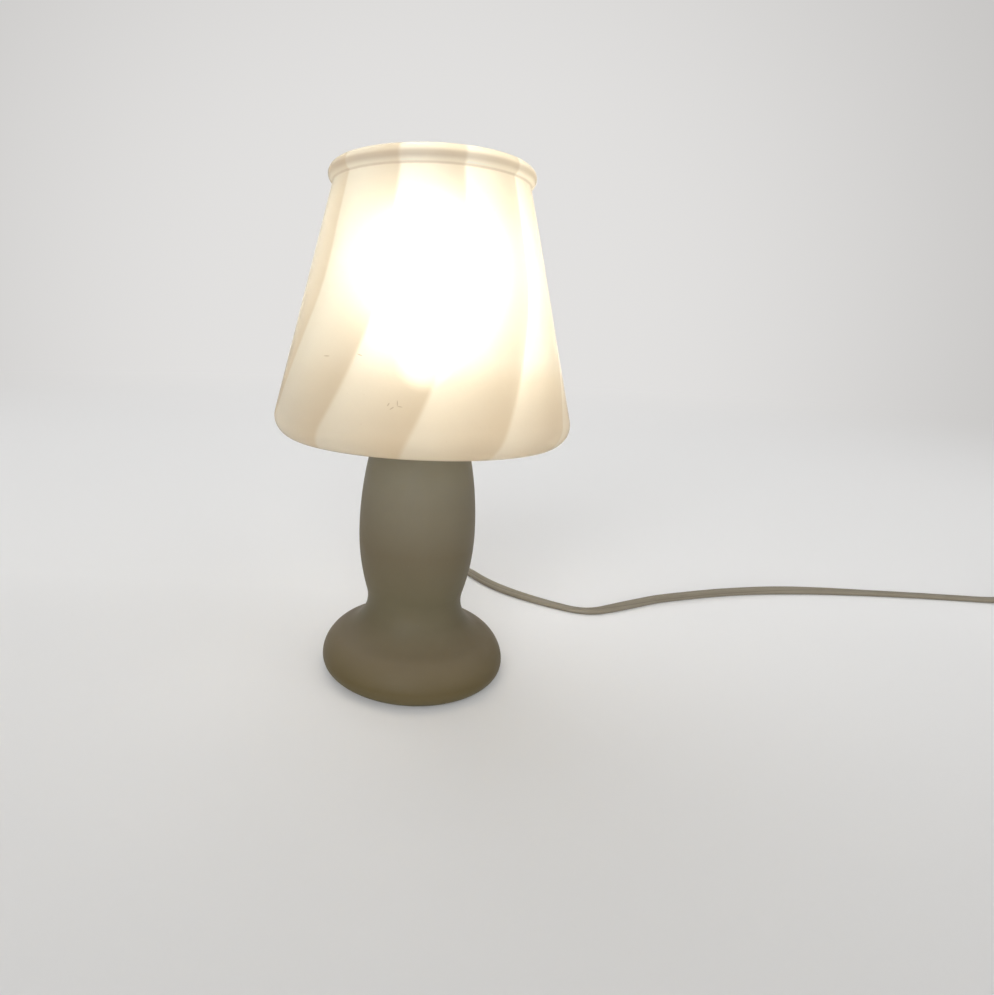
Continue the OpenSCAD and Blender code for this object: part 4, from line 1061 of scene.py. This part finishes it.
def looked_at(tree):
    """1 for rays from the camera, also after a reflection or through glass; 0 for the light on the lamp."""
    ray = add(tree, "ShaderNodeLightPath")
    return most(ray["Is Camera Ray"], ray["Is Glossy Ray"], ray["Is Transmission Ray"])


def backdrop(ahead):
    """The backdrop's colour, a painted pool of light: bright straight behind the lamp, duller to all sides.
    """
    return mixed(rise(ahead, 0.61, 0.99), CORNERS, BACKDROP)


def floor_finish():
    """A pale table near the lamp, with a painted falloff of light that dims it towards the front and the
    sides, which fades into the backdrop far away.
    """
    shader, place = blank("floor", {
        "Roughness": 0.9, "Specular IOR Level": 0.1, "Emission Color": (1, 1, 1, 1)})
    away = fed("ShaderNodeVectorMath", {0: place}, operation="LENGTH")["Value"]
    tree = place.id_data
    seen = looked_at(tree)
    wire(shader["Emission Strength"], times(seen, 0.08))
    # Painted light falloff: the table as seen darkens towards the front and to both sides.
    spot = split(place)
    front = most(minus(0.1, spot["Y"]), 0.0)
    edge = plus(times(front, 1.3), times(calc("ABSOLUTE", spot["X"]), 0.2))
    table = mixed(times(edge, 2.0), TABLE, TABLE_PAINTED_DIM)
    wire(shader["Base Color"], mixed(seen, TABLE_LIGHT, table))
    back = plus(spot["Y"], EYE_BACK)
    reach = plus(calc("POWER", spot["X"], 2.0), calc("POWER", back, 2.0))
    ahead = calc("DIVIDE", back, most(calc("SQRT", reach), 0.01))
    near = tree.nodes["Principled BSDF"].outputs[0]
    far = fed("ShaderNodeEmission", {0: mixed(seen, SKY, backdrop(ahead))})[0]
    both = fed("ShaderNodeMixShader", {0: rise(away, 0.7, 2.4), 1: near, 2: far})[0]
    wire(tree.nodes["Material Output"].inputs["Surface"], both)


def lay_floor():
    work = bmesh.new()
    bmesh.ops.create_circle(work, cap_ends=True, segments=96, radius=TABLE_R)
    mesh = bpy.data.meshes.new("floor")
    work.to_mesh(mesh)
    work.free()
    floor_finish()
    mesh.materials.append(finishes["floor"])
    floor = linked("floor", mesh)


def hang_sky():
    """An even sky that lights the lamp, and the backdrop where it is looked at."""
    world = bpy.data.worlds.new("studio")
    scene.world = world
    world.use_nodes = True
    tree = world.node_tree
    tree.nodes.clear()
    toward = split(add(tree, "ShaderNodeTexCoord")["Generated"])["Y"]
    colour = mixed(looked_at(tree), SKY, backdrop(toward))
    light = fed("ShaderNodeBackground", {"Color": colour})[0]
    fed("ShaderNodeOutputWorld", {"Surface": light})


def light_studio():
    """A pale floor that fades into a pale backdrop, an even sky and three soft boxes."""
    scene.view_settings.view_transform = "Standard"
    lay_floor()
    hang_sky()
    for name, (spot, strength, spread) in BOXES.items():
        lamp = bpy.data.lights.new(name, "SUN")
        lamp.energy = strength
        lamp.color = BOX_COLOUR
        lamp.angle = math.radians(spread)
        box = linked(name, lamp)
        box.rotation_euler = (-Vector(spot)).to_track_quat("-Z", "Y").to_euler()


def main():
    place_camera()
    mix_finishes()
    for made in nodes.values():
        slot = made.material_slots[0].material.name
        made.material_slots[0].material = finishes[slot.split(".")[0]]
    dress_lead_ends()
    wound_strap()
    add_grips()
    thread_cap()
    lay_flex()
    turned_shade()
    light_studio()


main()
